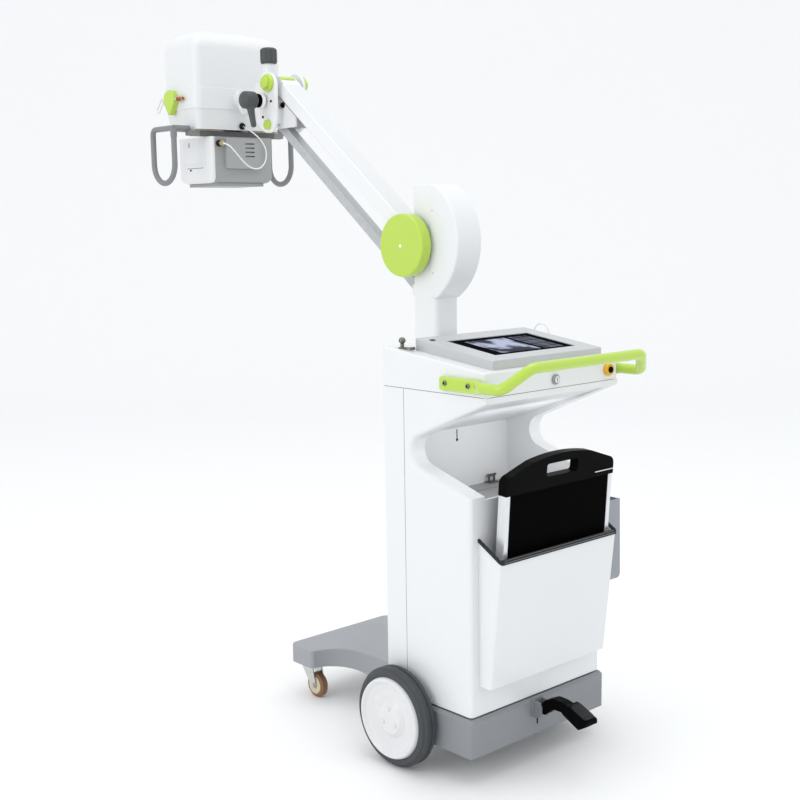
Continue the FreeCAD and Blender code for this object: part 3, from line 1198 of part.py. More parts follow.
# End bracket with its locks

def build_bracket():
    outer_x = PLATE_INNER_X + PLATE_THICKNESS
    plates = []
    for side in (-1, 1):
        near = side * PLATE_INNER_X
        far = side * outer_x
        plate = stadium_x(PLATE_Y, PLATE_BOTTOM, PLATE_TOP, PLATE_RADIUS, min(near, far), max(near, far))
        rim_edges = [edge for edge in plate.Edges if abs(abs(edge.CenterOfMass.x) - outer_x) < 0.1]
        plates.append(plate.makeChamfer(1.2, rim_edges))
    plate_set = Part.makeCompound(plates)
    for y, z, radius in ((PIVOT_B_Y, PIVOT_B_Z, PIVOT_PIN), (PIVOT_D_Y, PIVOT_D_Z, LINK_PIN),
                         (TILT_Y, TILT_Z, TILT_PIN + RUNNING)):
        plate_set = plate_set.cut(cylinder_x(-90, 90, y, z, radius))
    pin_reach = outer_x + 8
    upper_pin = cylinder_x(-pin_reach, pin_reach, PIVOT_B_Y, PIVOT_B_Z, PIVOT_PIN)
    lower_pin = cylinder_x(-pin_reach, pin_reach, PIVOT_D_Y, PIVOT_D_Z, LINK_PIN)
    add("bracket_plates", Part.makeCompound(plate_set.Solids + [upper_pin, lower_pin]))

    gap = SEAT_GAP * 10
    rear = CHANNEL_REAR
    front = PLATE_Y - PLATE_RADIUS + 22
    outline = [
        (rear, CHANNEL_BOTTOM), (rear, tube_underside(rear) - gap), (front, tube_underside(front) - gap),
        (front, CHANNEL_BOTTOM),
    ]
    channel = prism_x(outline, -CHANNEL_HALF_WIDTH, CHANNEL_HALF_WIDTH)
    channel = fillet(channel, 6.0, V(1, 0, 0), lambda m: m.y < rear + 1)
    room = box(-CHANNEL_HALF_WIDTH + CHANNEL_WALL, CHANNEL_HALF_WIDTH - CHANNEL_WALL, rear - 1, front + 1,
               CHANNEL_BOTTOM - 1, CHANNEL_BOTTOM + 200)
    tie_rear = front - CHANNEL_TIE_DEPTH
    tie_low = PIVOT_D_Z + CHANNEL_TIE_CLEAR
    tie = prism_x([
        (tie_rear, tie_low), (tie_rear, tube_underside(tie_rear) - gap), (front, tube_underside(front) - gap),
        (front, tie_low),
    ], -CHANNEL_HALF_WIDTH + 1, CHANNEL_HALF_WIDTH - 1)
    channel = channel.cut(room).fuse(tie)
    webs = [box(min(side * CHANNEL_HALF_WIDTH, side * PLATE_INNER_X), max(side * CHANNEL_HALF_WIDTH,
                side * PLATE_INNER_X), PLATE_Y - PLATE_RADIUS + 6, front, CHANNEL_BOTTOM + 14,
                CHANNEL_BOTTOM + 60) for side in (-1, 1)]
    add("bracket_channel", channel.fuse(webs))

    def cover(y, z, radius, step_radius, bore, depth, step_depth):
        base = cylinder_x(outer_x, outer_x + depth, y, z, radius)
        rim = [edge for edge in base.Edges if edge.BoundBox.XMin > outer_x + depth - 0.1]
        base = base.makeFillet(2.5, rim)
        if step_depth:
            step = cylinder_x(outer_x + depth - 1, outer_x + depth + step_depth, y, z, step_radius)
            rim = [edge for edge in step.Edges if edge.BoundBox.XMin > outer_x + depth + step_depth - 0.1]
            base = base.fuse(step.makeFillet(2.0, rim))
        return base.cut(cylinder_x(outer_x - 1, pin_reach, y, z, bore))

    knob = cover(PIVOT_B_Y, PIVOT_B_Z, KNOB_RADIUS, KNOB_STEP_RADIUS, PIVOT_PIN, 12, 10)
    cap = cover(PIVOT_D_Y, PIVOT_D_Z, CAP_RADIUS, 0, LINK_PIN, 10, 0)
    add("pivot_covers", Part.makeCompound([knob, mirrored(knob), cap, mirrored(cap)]))


def build_tilt_block():
    inner = PLATE_INNER_X - SEAT_GAP
    block = cylinder_x(-inner, inner, TILT_Y, TILT_Z, TILT_RADIUS)
    pin_reach = PLATE_INNER_X + PLATE_THICKNESS
    pin = cylinder_x(-pin_reach, pin_reach, TILT_Y, TILT_Z, TILT_PIN)
    web = box(-17, 17, TILT_Y, SWIVEL_Y, TILT_Z - 30, TILT_Z + 30)
    barrel = cylinder_z(0, SWIVEL_Y, BARREL_BOTTOM, BARREL_TOP, BARREL_RADIUS)
    solid = block.fuse([pin, web, barrel])
    add("tilt_block", solid.cut(cylinder_z(0, SWIVEL_Y, 1700, 2000, SPINDLE + RUNNING)))

    plate_side = -(pin_reach + SEAT_GAP)
    ring_start = plate_side - LEVER_COLLAR_LENGTH
    neck_start = ring_start - LEVER_RING_LENGTH
    collar = cylinder_x(ring_start, plate_side, TILT_Y, TILT_Z, LEVER_COLLAR_RADIUS)
    ring = cylinder_x(neck_start, ring_start, TILT_Y, TILT_Z, LEVER_RING_RADIUS)
    neck = cylinder_x(-LEVER_HUB_START - 1, neck_start, TILT_Y, TILT_Z, LEVER_NECK_RADIUS)
    hub = cylinder_x(-LEVER_HUB_END, -LEVER_HUB_START, TILT_Y, TILT_Z, LEVER_HUB_RADIUS)
    hub = hub.makeFillet(LEVER_HUB_ROUND, [edge for edge in hub.Edges if not edge.BoundBox.XLength > 1])
    stem_top = V(-LEVER_STEM_X, TILT_Y, TILT_Z - LEVER_HUB_RADIUS + 8)
    stem_end = V(-LEVER_STEM_X, TILT_Y - 4, TILT_Z - LEVER_HUB_RADIUS - LEVER_LENGTH)
    heading = stem_end - stem_top
    stem = Part.makeCone(LEVER_STEM_TOP_RADIUS, LEVER_STEM_TIP_RADIUS, heading.Length, stem_top, heading)
    tip = Part.makeSphere(LEVER_STEM_TIP_RADIUS + 0.5, stem_end)
    add("tilt_lever", collar.fuse([ring, neck, hub, stem, tip]))


def build_yoke():
    arm_low_top = BARREL_BOTTOM - SEAT_GAP
    arm_low = arm_low_top - YOKE_ARM_THICKNESS
    arm_high = BARREL_TOP + SEAT_GAP
    arm_high_top = arm_high + YOKE_ARM_THICKNESS
    spindle = cylinder_z(0, SWIVEL_Y, arm_low, COLLAR_TOP - 8, SPINDLE)
    collar = revolved_z([
        (0, arm_high_top - 1), (15, arm_high_top - 1), (15, arm_high_top + 20), (COLLAR_RADIUS, arm_high_top + 24),
        (COLLAR_RADIUS, COLLAR_TOP - SEAT_GAP), (0, COLLAR_TOP - SEAT_GAP),
    ], 0, SWIVEL_Y)
    arms = []
    for low, high in ((arm_low, arm_low_top), (arm_high, arm_high_top)):
        arms.append(cylinder_z(0, SWIVEL_Y, low, high, YOKE_ARM_HALF))
        arms.append(box(-YOKE_ARM_HALF, YOKE_ARM_HALF, SWIVEL_Y, YOKE_FRONT, low, high))
    plate = rounded_box(-YOKE_PLATE_HALF, YOKE_PLATE_HALF, YOKE_FRONT - 22, YOKE_FRONT, arm_low, arm_high_top,
                        10, V(0, 1, 0))
    centre_z = (BAND_BOTTOM + BAND_TOP) / 2
    flange = cylinder_y(0, YOKE_FRONT - 1, YOKE_FRONT + FLANGE_THICKNESS, centre_z, FLANGE_RADIUS)
    add("head_yoke", spindle.fuse([collar, plate, flange] + arms))

    lobes = 10
    knob_low = COLLAR_TOP
    knob_top = knob_low + LOCK_KNOB_HEIGHT
    knob = revolved_z([
        (0, knob_low), (LOCK_KNOB_RADIUS - 3, knob_low), (LOCK_KNOB_RADIUS, knob_low + 6),
        (LOCK_KNOB_RADIUS, knob_top - 8), (LOCK_KNOB_RADIUS - 3, knob_top - 3),
        (LOCK_KNOB_RADIUS - 9, knob_top), (0, knob_top),
    ], 0, SWIVEL_Y)
    for index in range(lobes):
        angle = 2 * math.pi * index / lobes
        groove_r = LOCK_KNOB_RADIUS + 2
        groove = cylinder_z(groove_r * math.cos(angle), SWIVEL_Y + groove_r * math.sin(angle),
                            knob_low - 1, knob_top + 1, 4)
        knob = knob.cut(groove)
    add("swivel_knob", knob)


# Tube head

def grommet_face_y():
    """Where the head's tapered rear face stands at the grommet's height."""
    share = (BAND_BOTTOM - GROMMET_Z) / (BAND_BOTTOM - HEAD_BOTTOM)
    return HEAD_Y - HEAD_HALF_DEPTH + HEAD_TAPER * share


def build_head():
    centre_z = (BAND_BOTTOM + BAND_TOP) / 2
    wall = HEAD_WALL
    full = rounded_rectangle(HEAD_HALF_WIDTH, HEAD_Y, HEAD_HALF_DEPTH, BAND_BOTTOM, HEAD_CORNER)
    low_half_width = HEAD_HALF_WIDTH - HEAD_TAPER
    low_half_depth = HEAD_HALF_DEPTH - HEAD_TAPER
    small = rounded_rectangle(low_half_width, HEAD_Y, low_half_depth, HEAD_BOTTOM, HEAD_CORNER - wall)
    lower = Part.makeLoft([small, full], True, True)
    band_wire = rounded_rectangle(HEAD_HALF_WIDTH + BAND_PROUD, HEAD_Y, HEAD_HALF_DEPTH + BAND_PROUD, BAND_BOTTOM,
                                  HEAD_CORNER + BAND_PROUD)
    band = Part.Face(band_wire).extrude(V(0, 0, BAND_TOP - BAND_BOTTOM))
    band = band.makeFillet(2.0, [edge for edge in band.Edges if edge.BoundBox.ZLength < 0.1])
    hollow_wire = rounded_rectangle(low_half_width - wall, HEAD_Y, low_half_depth - wall, HEAD_BOTTOM + wall,
                                    HEAD_CORNER - 2 * wall)
    hollow = Part.Face(hollow_wire).extrude(V(0, 0, 400))
    boss_start = YOKE_FRONT + FLANGE_THICKNESS + SEAT_GAP
    boss_radius = (BAND_TOP - BAND_BOTTOM) / 2 - 2
    boss = cylinder_y(0, boss_start, HEAD_Y - HEAD_HALF_DEPTH + 8, centre_z, boss_radius)
    port = cylinder_z(0, HEAD_Y, HEAD_BOTTOM - 1, HEAD_BOTTOM + wall + 1, TURNTABLE_SPIGOT + RUNNING)
    grommet = cylinder_y(GROMMET_X, grommet_face_y() - GROMMET_REACH, grommet_face_y() + wall, GROMMET_Z,
                         GROMMET_RADIUS)
    add("head_housing", lower.fuse([band, boss, grommet]).cut(hollow).cut(port))

    def section(inset, z, corner_cut):
        return rounded_rectangle(HEAD_HALF_WIDTH - inset, HEAD_Y, HEAD_HALF_DEPTH - inset, z,
                                 HEAD_CORNER - corner_cut)

    side = Part.Face(section(0, BAND_TOP, 0)).extrude(V(0, 0, DOME_SHOULDER - BAND_TOP))
    crown = Part.makeLoft([section(inset, DOME_SHOULDER + rise, cut) for inset, rise, cut in DOME_STEPS], True)
    inside = Part.Face(section(wall, BAND_TOP - 1, wall)).extrude(V(0, 0, DOME_SHOULDER - BAND_TOP + 1))
    add("head_cover", side.fuse(crown).cut(inside))

    insert_z = centre_z + INSERT_RISE
    insert = cylinder_x(-INSERT_LENGTH / 2, INSERT_LENGTH / 2, HEAD_Y, insert_z, INSERT_RADIUS)
    saddles = [box(x - 10, x + 10, HEAD_Y - 45, HEAD_Y + 45, HEAD_BOTTOM + wall, insert_z - 30)
               for x in (-SADDLE_X, SADDLE_X)]
    add("tube_insert", insert.fuse(saddles))


def build_tape_measure():
    """Drop-shaped tape measure on the head's left side, with a long push button and a pull link."""
    side = -(HEAD_HALF_WIDTH + BAND_PROUD)
    far = side - TAPE_THICKNESS
    round_part = cylinder_x(far, side, TAPE_Y, TAPE_Z, TAPE_RADIUS)
    spread = math.radians(52)
    reach = TAPE_RADIUS * math.cos(spread)
    width = TAPE_RADIUS * math.sin(spread)
    point = prism_x([(TAPE_Y - width, TAPE_Z - reach), (TAPE_Y - 4, TAPE_Z - TAPE_POINT),
                     (TAPE_Y + 4, TAPE_Z - TAPE_POINT), (TAPE_Y + width, TAPE_Z - reach)], far, side)
    tape = round_part.fuse(point).removeSplitter()
    tape = tape.makeFillet(3.0, [edge for edge in tape.Edges if edge.BoundBox.XMax < far + 0.1])
    button = cylinder_y(far + TAPE_THICKNESS / 2, TAPE_Y - TAPE_RADIUS - TAPE_BUTTON_REACH, TAPE_Y, TAPE_Z,
                        TAPE_BUTTON_RADIUS)
    add("tape_measure", tape.fuse(button))

    link_x = far + TAPE_THICKNESS / 2
    near = V(link_x, TAPE_LINK_Y, TAPE_Z)
    angle = math.radians(TAPE_LINK_ANGLE)
    ahead = V(0, math.cos(angle), -math.sin(angle))
    across = V(0, math.sin(angle), math.cos(angle))
    distant = near + ahead * TAPE_LINK_LENGTH
    r = TAPE_LINK_RADIUS
    outline = [
        Part.LineSegment(near + across * r, distant + across * r),
        Part.Arc(distant + across * r, distant + ahead * r, distant - across * r),
        Part.LineSegment(distant - across * r, near - across * r),
        Part.Arc(near - across * r, near - ahead * r, near + across * r),
    ]
    path = Part.Wire([piece.toShape() for piece in outline])
    wire = Part.Wire(Part.Circle(near + across * r, ahead, TAPE_LINK_WIRE).toShape())
    link = path.makePipeShell([wire], True, True)
    neck = cylinder_y(link_x, TAPE_Y + TAPE_RADIUS + SEAT_GAP, TAPE_LINK_Y - r + 1, TAPE_Z, TAPE_NECK_RADIUS)
    add("tape_ring", link.fuse(neck))


# Collimator

def build_collimator():
    seat = HEAD_BOTTOM - SEAT_GAP
    table = cylinder_z(0, HEAD_Y, COLLIMATOR_TOP, seat, TURNTABLE_RADIUS)
    spigot = cylinder_z(0, HEAD_Y, seat - 1, HEAD_BOTTOM + HEAD_WALL, TURNTABLE_SPIGOT)
    add("turntable", table.fuse(spigot))

    half = COLLIMATOR_HALF_WIDTH
    rear = HEAD_Y - COLLIMATOR_HALF_DEPTH
    front = HEAD_Y + COLLIMATOR_HALF_DEPTH
    block = box(-half, half, rear, front, COLLIMATOR_BOTTOM, COLLIMATOR_TOP)
    block = fillet(block, BODY_CORNER, V(0, 0, 1))
    block = fillet(block, BODY_LOWER_ROUND, V(0, 1, 0), lambda m: m.z < COLLIMATOR_BOTTOM + 1)
    panel = box(-half, -half + PANEL_THICKNESS, rear + PANEL_MARGIN, front - PANEL_MARGIN, COLLIMATOR_BOTTOM + 30,
                COLLIMATOR_TOP - 8)
    panel = fillet(panel, 16.0, V(1, 0, 0), lambda m: m.z < COLLIMATOR_BOTTOM + 31)
    plate = rounded_box(-half + 26, half - 26, rear + 14, front - 14, COLLIMATOR_BOTTOM - BOTTOM_PLATE_DROP,
                        COLLIMATOR_BOTTOM, 8)
    add("collimator_body", block.cut(panel).fuse(plate))
    line_z = COLLIMATOR_BOTTOM + PANEL_LINE
    line = box(-half - 1, -half + 1, rear, front, line_z, line_z + 2)
    add("collimator_panel", panel.cut(line))

    vent = rounded_box(-VENT_HALF_WIDTH, VENT_HALF_WIDTH, rear - VENT_DEPTH, rear, VENT_BOTTOM, VENT_TOP, 4,
                       V(0, 1, 0))
    for index in range(VENT_SLOTS):
        z = VENT_TOP - VENT_SLOT_DROP - index * VENT_SLOT_PITCH
        slot = rounded_box(VENT_SLOT_X - VENT_SLOT_LENGTH / 2, VENT_SLOT_X + VENT_SLOT_LENGTH / 2,
                           rear - VENT_DEPTH - 1, rear - 3, z - VENT_SLOT_HEIGHT / 2, z + VENT_SLOT_HEIGHT / 2, 2,
                           V(0, 1, 0))
        vent = vent.cut(slot)
    flange = cylinder_y(SOCKET_X, rear - SOCKET_FLANGE, rear, SOCKET_Z, SOCKET_RADIUS)
    nut = cylinder_y(SOCKET_X, rear - SOCKET_REACH, rear - SOCKET_FLANGE + 1, SOCKET_Z, SOCKET_NUT)
    add("vent_box", Part.makeCompound([vent, flange.fuse(nut)]))

    add("handle_frame", handle_rail().fuse([handle_loop(), mirrored(handle_loop())]))


def handle_rail():
    """Bar across the top of the collimator that carries both handle loops."""
    end = SLEEVE_INNER_X + 4
    front = HEAD_Y - RAIL_FRONT
    return box(-end, end, front - RAIL_DEPTH, front, COLLIMATOR_TOP, COLLIMATOR_TOP + RAIL_HEIGHT)


def handle_loop():
    """Right handle: a U of round bar closed by a top bar, with a sleeve that reaches in to the rail."""
    rear = LOOP_Y - LOOP_HALF_WIDTH
    front = LOOP_Y + LOOP_HALF_WIDTH
    x = LOOP_X
    low = LOOP_ARC_Z
    top = LOOP_TOP
    corner = LOOP_CORNER
    mid = corner * (1 - 1 / math.sqrt(2))
    pieces = [
        Part.LineSegment(V(x, rear, low), V(x, rear, top - corner)),
        Part.Arc(V(x, rear, top - corner), V(x, rear + mid, top - mid), V(x, rear + corner, top)),
        Part.LineSegment(V(x, rear + corner, top), V(x, front - corner, top)),
        Part.Arc(V(x, front - corner, top), V(x, front - mid, top - mid), V(x, front, top - corner)),
        Part.LineSegment(V(x, front, top - corner), V(x, front, low)),
        Part.Arc(V(x, front, low), V(x, LOOP_Y, low - LOOP_HALF_WIDTH), V(x, rear, low)),
    ]
    path = Part.Wire([piece.toShape() for piece in pieces])
    section = Part.Wire(Part.Circle(V(x, rear, low), V(0, 0, 1), LOOP_TUBE).toShape())
    loop = path.makePipeShell([section], True, True)
    sleeve = cylinder_x(SLEEVE_INNER_X, x, rear, top - SLEEVE_DROP, SLEEVE_RADIUS)
    collar = cylinder_z(x, rear, top - corner - SLEEVE_RADIUS, top + 1, SLEEVE_RADIUS)
    neck = box(SLEEVE_INNER_X - 4, SLEEVE_INNER_X + 12, HEAD_Y - RAIL_FRONT - RAIL_DEPTH, rear + 4,
               COLLIMATOR_TOP + 2, COLLIMATOR_TOP + RAIL_HEIGHT)
    return loop.fuse([sleeve, collar, neck])


def cord_radii(points):
    """Radius for each inner point: 0.45 of the shorter run over the tangent of half the turn."""
    radii = []
    for before, point, after in zip(points, points[1:], points[2:]):
        turn = (point - before).getAngle(after - point)
        shorter = min((point - before).Length, (after - point).Length)
        radii.append(0.45 * shorter / math.tan(turn / 2))
    return radii


def build_cable():
    """Slack white cable from the collimator's socket up to the head's grommet."""
    socket_face = HEAD_Y - COLLIMATOR_HALF_DEPTH - SOCKET_REACH
    grommet_face = grommet_face_y() - GROMMET_REACH
    overlap = 2.0
    start = V(SOCKET_X, socket_face + overlap, SOCKET_Z)
    end = V(GROMMET_X, grommet_face, GROMMET_Z)
    points = [start] + [V(x, y, z) for x, y, z in CABLE_ROUTE] + [end]
    radii = cord_radii(points)
    cable = swept_tube(points, radii, CABLE_RADIUS)
    length = rounded_path(points, radii).Length
    print("cable length", round(length, 1), "smallest radius", round(min(radii), 1))
    print("cable volume over section times length", round(cable.Volume / (math.pi * CABLE_RADIUS ** 2 * length), 4))
    inside_socket = cylinder_y(SOCKET_X, socket_face, socket_face + SOCKET_REACH, SOCKET_Z, SOCKET_RADIUS)
    inside_grommet = cylinder_y(GROMMET_X, grommet_face - SEAT_GAP, grommet_face + GROMMET_REACH, GROMMET_Z,
                                GROMMET_RADIUS)
    add("collimator_cable", cable.cut(inside_socket.fuse(inside_grommet)))


# Inside the cabinet

def build_inner():
    floor = CABINET_BOTTOM + SHELL_WALL
    rear = -GENERATOR_FRONT - GENERATOR_DEPTH
    tank = rounded_box(-GENERATOR_HALF_WIDTH, GENERATOR_HALF_WIDTH, rear, -GENERATOR_FRONT,
                       floor, floor + GENERATOR_HEIGHT, 12)
    lid = rounded_box(-GENERATOR_HALF_WIDTH - 8, GENERATOR_HALF_WIDTH + 8, rear - 8, -GENERATOR_FRONT + 8,
                      floor + GENERATOR_HEIGHT, floor + GENERATOR_HEIGHT + 8, 14)
    add("generator", tank.fuse(lid))
    back = -CABINET_DEPTH + SHELL_WALL
    battery = rounded_box(-BATTERY_HALF_WIDTH, BATTERY_HALF_WIDTH, back, back + BATTERY_DEPTH,
                          floor, floor + BATTERY_HEIGHT, 4)
    terminals = [cylinder_z(x, back + BATTERY_DEPTH / 2, floor + BATTERY_HEIGHT, floor + BATTERY_HEIGHT + 12, 7)
                 for x in (-150, 150)]
    add("battery_pack", battery.fuse(terminals))


def export_all():
    os.makedirs("parts", exist_ok=True)
    for name, shape in NODES.items():
        placed = shape.copy()
        placed.translate(V(0, -ORIGIN_Y, 0))
        placed.exportStep("parts/" + name + ".step")


build_cabinet()
build_console()
build_screen()
build_handle()
build_base()
build_platform()
build_rear_wheels()
build_casters()
build_pedal()
build_bin()
build_carrier()
build_column()
build_arm()
build_bracket()
build_tilt_block()
build_yoke()
build_head()
build_tape_measure()
build_collimator()
build_cable()
build_inner()
export_all()
print("origin shift", round(ORIGIN_Y, 3))
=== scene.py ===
import json
import math

import bmesh
import bpy
from mathutils import Matrix, Vector

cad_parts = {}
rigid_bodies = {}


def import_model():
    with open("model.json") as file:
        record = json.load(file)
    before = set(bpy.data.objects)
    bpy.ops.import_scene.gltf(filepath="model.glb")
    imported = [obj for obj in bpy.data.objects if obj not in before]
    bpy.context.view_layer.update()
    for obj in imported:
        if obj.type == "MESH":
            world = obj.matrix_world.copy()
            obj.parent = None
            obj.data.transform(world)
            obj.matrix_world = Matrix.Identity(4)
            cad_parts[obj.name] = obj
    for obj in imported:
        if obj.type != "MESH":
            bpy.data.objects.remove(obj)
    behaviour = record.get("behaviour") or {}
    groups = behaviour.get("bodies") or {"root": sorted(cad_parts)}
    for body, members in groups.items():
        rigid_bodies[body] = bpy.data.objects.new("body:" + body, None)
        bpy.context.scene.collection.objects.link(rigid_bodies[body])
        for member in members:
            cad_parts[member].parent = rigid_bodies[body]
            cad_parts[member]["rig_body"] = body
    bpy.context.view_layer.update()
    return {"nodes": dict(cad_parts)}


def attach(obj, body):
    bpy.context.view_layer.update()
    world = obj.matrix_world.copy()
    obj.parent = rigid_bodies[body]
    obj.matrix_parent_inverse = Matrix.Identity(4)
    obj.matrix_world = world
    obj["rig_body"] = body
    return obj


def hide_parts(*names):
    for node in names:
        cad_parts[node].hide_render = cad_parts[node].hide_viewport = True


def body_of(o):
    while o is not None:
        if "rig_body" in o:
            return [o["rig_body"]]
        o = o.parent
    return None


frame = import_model()

# The machine is set out in millimetres from the cabinet's front face, the centre plane and the floor.
MM = 0.001
ORIGIN_Y = 335.633


def at(x, y, z):
    return Vector((x * MM, (y - ORIGIN_Y) * MM, z * MM))


# Camera

PHOTO_WIDTH = 800
FOCAL_PIXELS = 1242.82
VIEW_CENTRE = (387.1, 410.8)
CAMERA_PLACE = (-2445.9, -2464.9, 1467.4)
CAMERA_YAW = math.radians(41.764)
CAMERA_PITCH = math.radians(8.725)
CAMERA_ROLL = math.radians(-0.927)


def set_camera():
    data = bpy.data.cameras.new("studio_camera")
    data.sensor_width = 36.0
    data.lens = FOCAL_PIXELS * data.sensor_width / PHOTO_WIDTH
    data.shift_x = (PHOTO_WIDTH / 2 - VIEW_CENTRE[0]) / PHOTO_WIDTH
    data.shift_y = (VIEW_CENTRE[1] - PHOTO_WIDTH / 2) / PHOTO_WIDTH
    data.clip_end = 60.0
    forward = Vector((math.sin(CAMERA_YAW) * math.cos(CAMERA_PITCH),
                      math.cos(CAMERA_YAW) * math.cos(CAMERA_PITCH), -math.sin(CAMERA_PITCH)))
    level = Vector((math.cos(CAMERA_YAW), -math.sin(CAMERA_YAW), 0))
    upright = level.cross(forward)
    right = math.cos(CAMERA_ROLL) * level + math.sin(CAMERA_ROLL) * upright
    up = -math.sin(CAMERA_ROLL) * level + math.cos(CAMERA_ROLL) * upright
    camera = bpy.data.objects.new("studio_camera", data)
    placed = Matrix((right, up, -forward)).transposed().to_4x4()
    placed.translation = at(*CAMERA_PLACE)
    camera.matrix_world = placed
    bpy.context.collection.objects.link(camera)
    bpy.context.scene.camera = camera


set_camera()


# Effects that several finishes share

def start_group(name, inputs, outputs):
    """Shader group with its sockets, and its input and output nodes."""
    tree = bpy.data.node_groups.new(name, "ShaderNodeTree")
    for label, kind, value in inputs:
        socket = tree.interface.new_socket(label, in_out="INPUT", socket_type=kind)
        socket.default_value = value
    for label, kind in outputs:
        tree.interface.new_socket(label, in_out="OUTPUT", socket_type=kind)
    return tree, tree.nodes.new("NodeGroupInput"), tree.nodes.new("NodeGroupOutput")


def add_noise(tree, detail, roughness):
    noise = tree.nodes.new("ShaderNodeTexNoise")
    noise.inputs["Detail"].default_value = detail
    noise.inputs["Roughness"].default_value = roughness
    return noise


def add_math(tree, operation, first, second):
    step = tree.nodes.new("ShaderNodeMath")
    step.operation = operation
    for socket, value in zip(step.inputs, (first, second)):
        if isinstance(value, (int, float)):
            socket.default_value = value
        else:
            tree.links.new(value, socket)
    return step.outputs[0]


def add_range(tree, value, low, high, to_low, to_high):
    step = tree.nodes.new("ShaderNodeMapRange")
    for label, number in (("From Min", low), ("From Max", high), ("To Min", to_low), ("To Max", to_high)):
        step.inputs[label].default_value = number
    tree.links.new(value, step.inputs["Value"])
    return step.outputs[0]


def add_mix(tree, factor, first, second):
    mix = tree.nodes.new("ShaderNodeMix")
    mix.data_type = "RGBA"
    for index, value in ((0, factor), (6, first), (7, second)):
        if isinstance(value, (tuple, int, float)):
            mix.inputs[index].default_value = value
        else:
            tree.links.new(value, mix.inputs[index])
    return mix.outputs[2]


COLOUR, NUMBER, VECTOR = "NodeSocketColor", "NodeSocketFloat", "NodeSocketVector"


def build_moulded_skin():
    """Fine leathery grain, broad unevenness in tone and gloss, and dust that gathers towards the floor."""
    tree, given, result = start_group("moulded_skin", [
        ("Colour", COLOUR, (0.8, 0.8, 0.8, 1)), ("Shade Colour", COLOUR, (0.6, 0.6, 0.6, 1)),
        ("Unevenness", NUMBER, 0.2), ("Floor Dust", NUMBER, 0.2), ("Grain Size", NUMBER, 900.0),
        ("Roughness", NUMBER, 0.35), ("Gloss Spread", NUMBER, 0.1), ("Place", VECTOR, (0, 0, 0)),
    ], [("Colour", COLOUR), ("Roughness", NUMBER), ("Height", NUMBER)])
    broad = add_noise(tree, 4.0, 0.55)
    broad.inputs["Scale"].default_value = 5.0
    fine = add_noise(tree, 3.0, 0.6)
    for noise in (broad, fine):
        tree.links.new(given.outputs["Place"], noise.inputs["Vector"])
    tree.links.new(given.outputs["Grain Size"], fine.inputs["Scale"])
    patches = add_range(tree, broad.outputs[0], 0.4, 0.75, 0.0, 1.0)
    uneven = add_math(tree, "MULTIPLY", patches, given.outputs["Unevenness"])
    place = tree.nodes.new("ShaderNodeSeparateXYZ")
    tree.links.new(given.outputs["Place"], place.inputs[0])
    low = add_range(tree, place.outputs[2], 0.0, 0.22, 1.0, 0.0)
    dusty = add_math(tree, "MULTIPLY", low, given.outputs["Floor Dust"])
    dusty = add_math(tree, "MULTIPLY", dusty, add_range(tree, fine.outputs[0], 0.35, 0.65, 0.5, 1.0))
    shade = add_math(tree, "MINIMUM", add_math(tree, "ADD", uneven, dusty), 1.0)
    tree.links.new(add_mix(tree, shade, given.outputs["Colour"], given.outputs["Shade Colour"]),
                   result.inputs["Colour"])
    gloss = add_math(tree, "MULTIPLY", add_math(tree, "SUBTRACT", broad.outputs[0], 0.5),
                     given.outputs["Gloss Spread"])
    rough = add_math(tree, "ADD", add_math(tree, "ADD", given.outputs["Roughness"], gloss),
                     add_math(tree, "MULTIPLY", dusty, 0.4))
    tree.links.new(rough, result.inputs["Roughness"])
    tree.links.new(fine.outputs[0], result.inputs["Height"])
    return tree


def build_brushed_lines():
    """Fine parallel lines that a brush or an extrusion die leaves along one direction."""
    tree, given, result = start_group("brushed_lines", [
        ("Colour", COLOUR, (0.7, 0.7, 0.7, 1)), ("Line Colour", COLOUR, (0.5, 0.5, 0.5, 1)),
        ("Stretch", VECTOR, (900, 900, 12)), ("Contrast", NUMBER, 0.5), ("Roughness", NUMBER, 0.3),
        ("Place", VECTOR, (0, 0, 0)),
    ], [("Colour", COLOUR), ("Roughness", NUMBER), ("Height", NUMBER)])
    scaled = tree.nodes.new("ShaderNodeVectorMath")
    scaled.operation = "MULTIPLY"
    tree.links.new(given.outputs["Place"], scaled.inputs[0])
    tree.links.new(given.outputs["Stretch"], scaled.inputs[1])
    lines = add_noise(tree, 3.0, 0.6)
    lines.inputs["Scale"].default_value = 1.0
    tree.links.new(scaled.outputs[0], lines.inputs["Vector"])
    mask = add_math(tree, "MULTIPLY", add_range(tree, lines.outputs[0], 0.35, 0.7, 0.0, 1.0),
                    given.outputs["Contrast"])
    tree.links.new(add_mix(tree, mask, given.outputs["Colour"], given.outputs["Line Colour"]),
                   result.inputs["Colour"])
    rough = add_math(tree, "ADD", given.outputs["Roughness"], add_math(tree, "MULTIPLY", mask, 0.18))
    tree.links.new(rough, result.inputs["Roughness"])
    tree.links.new(lines.outputs[0], result.inputs["Height"])
    return tree


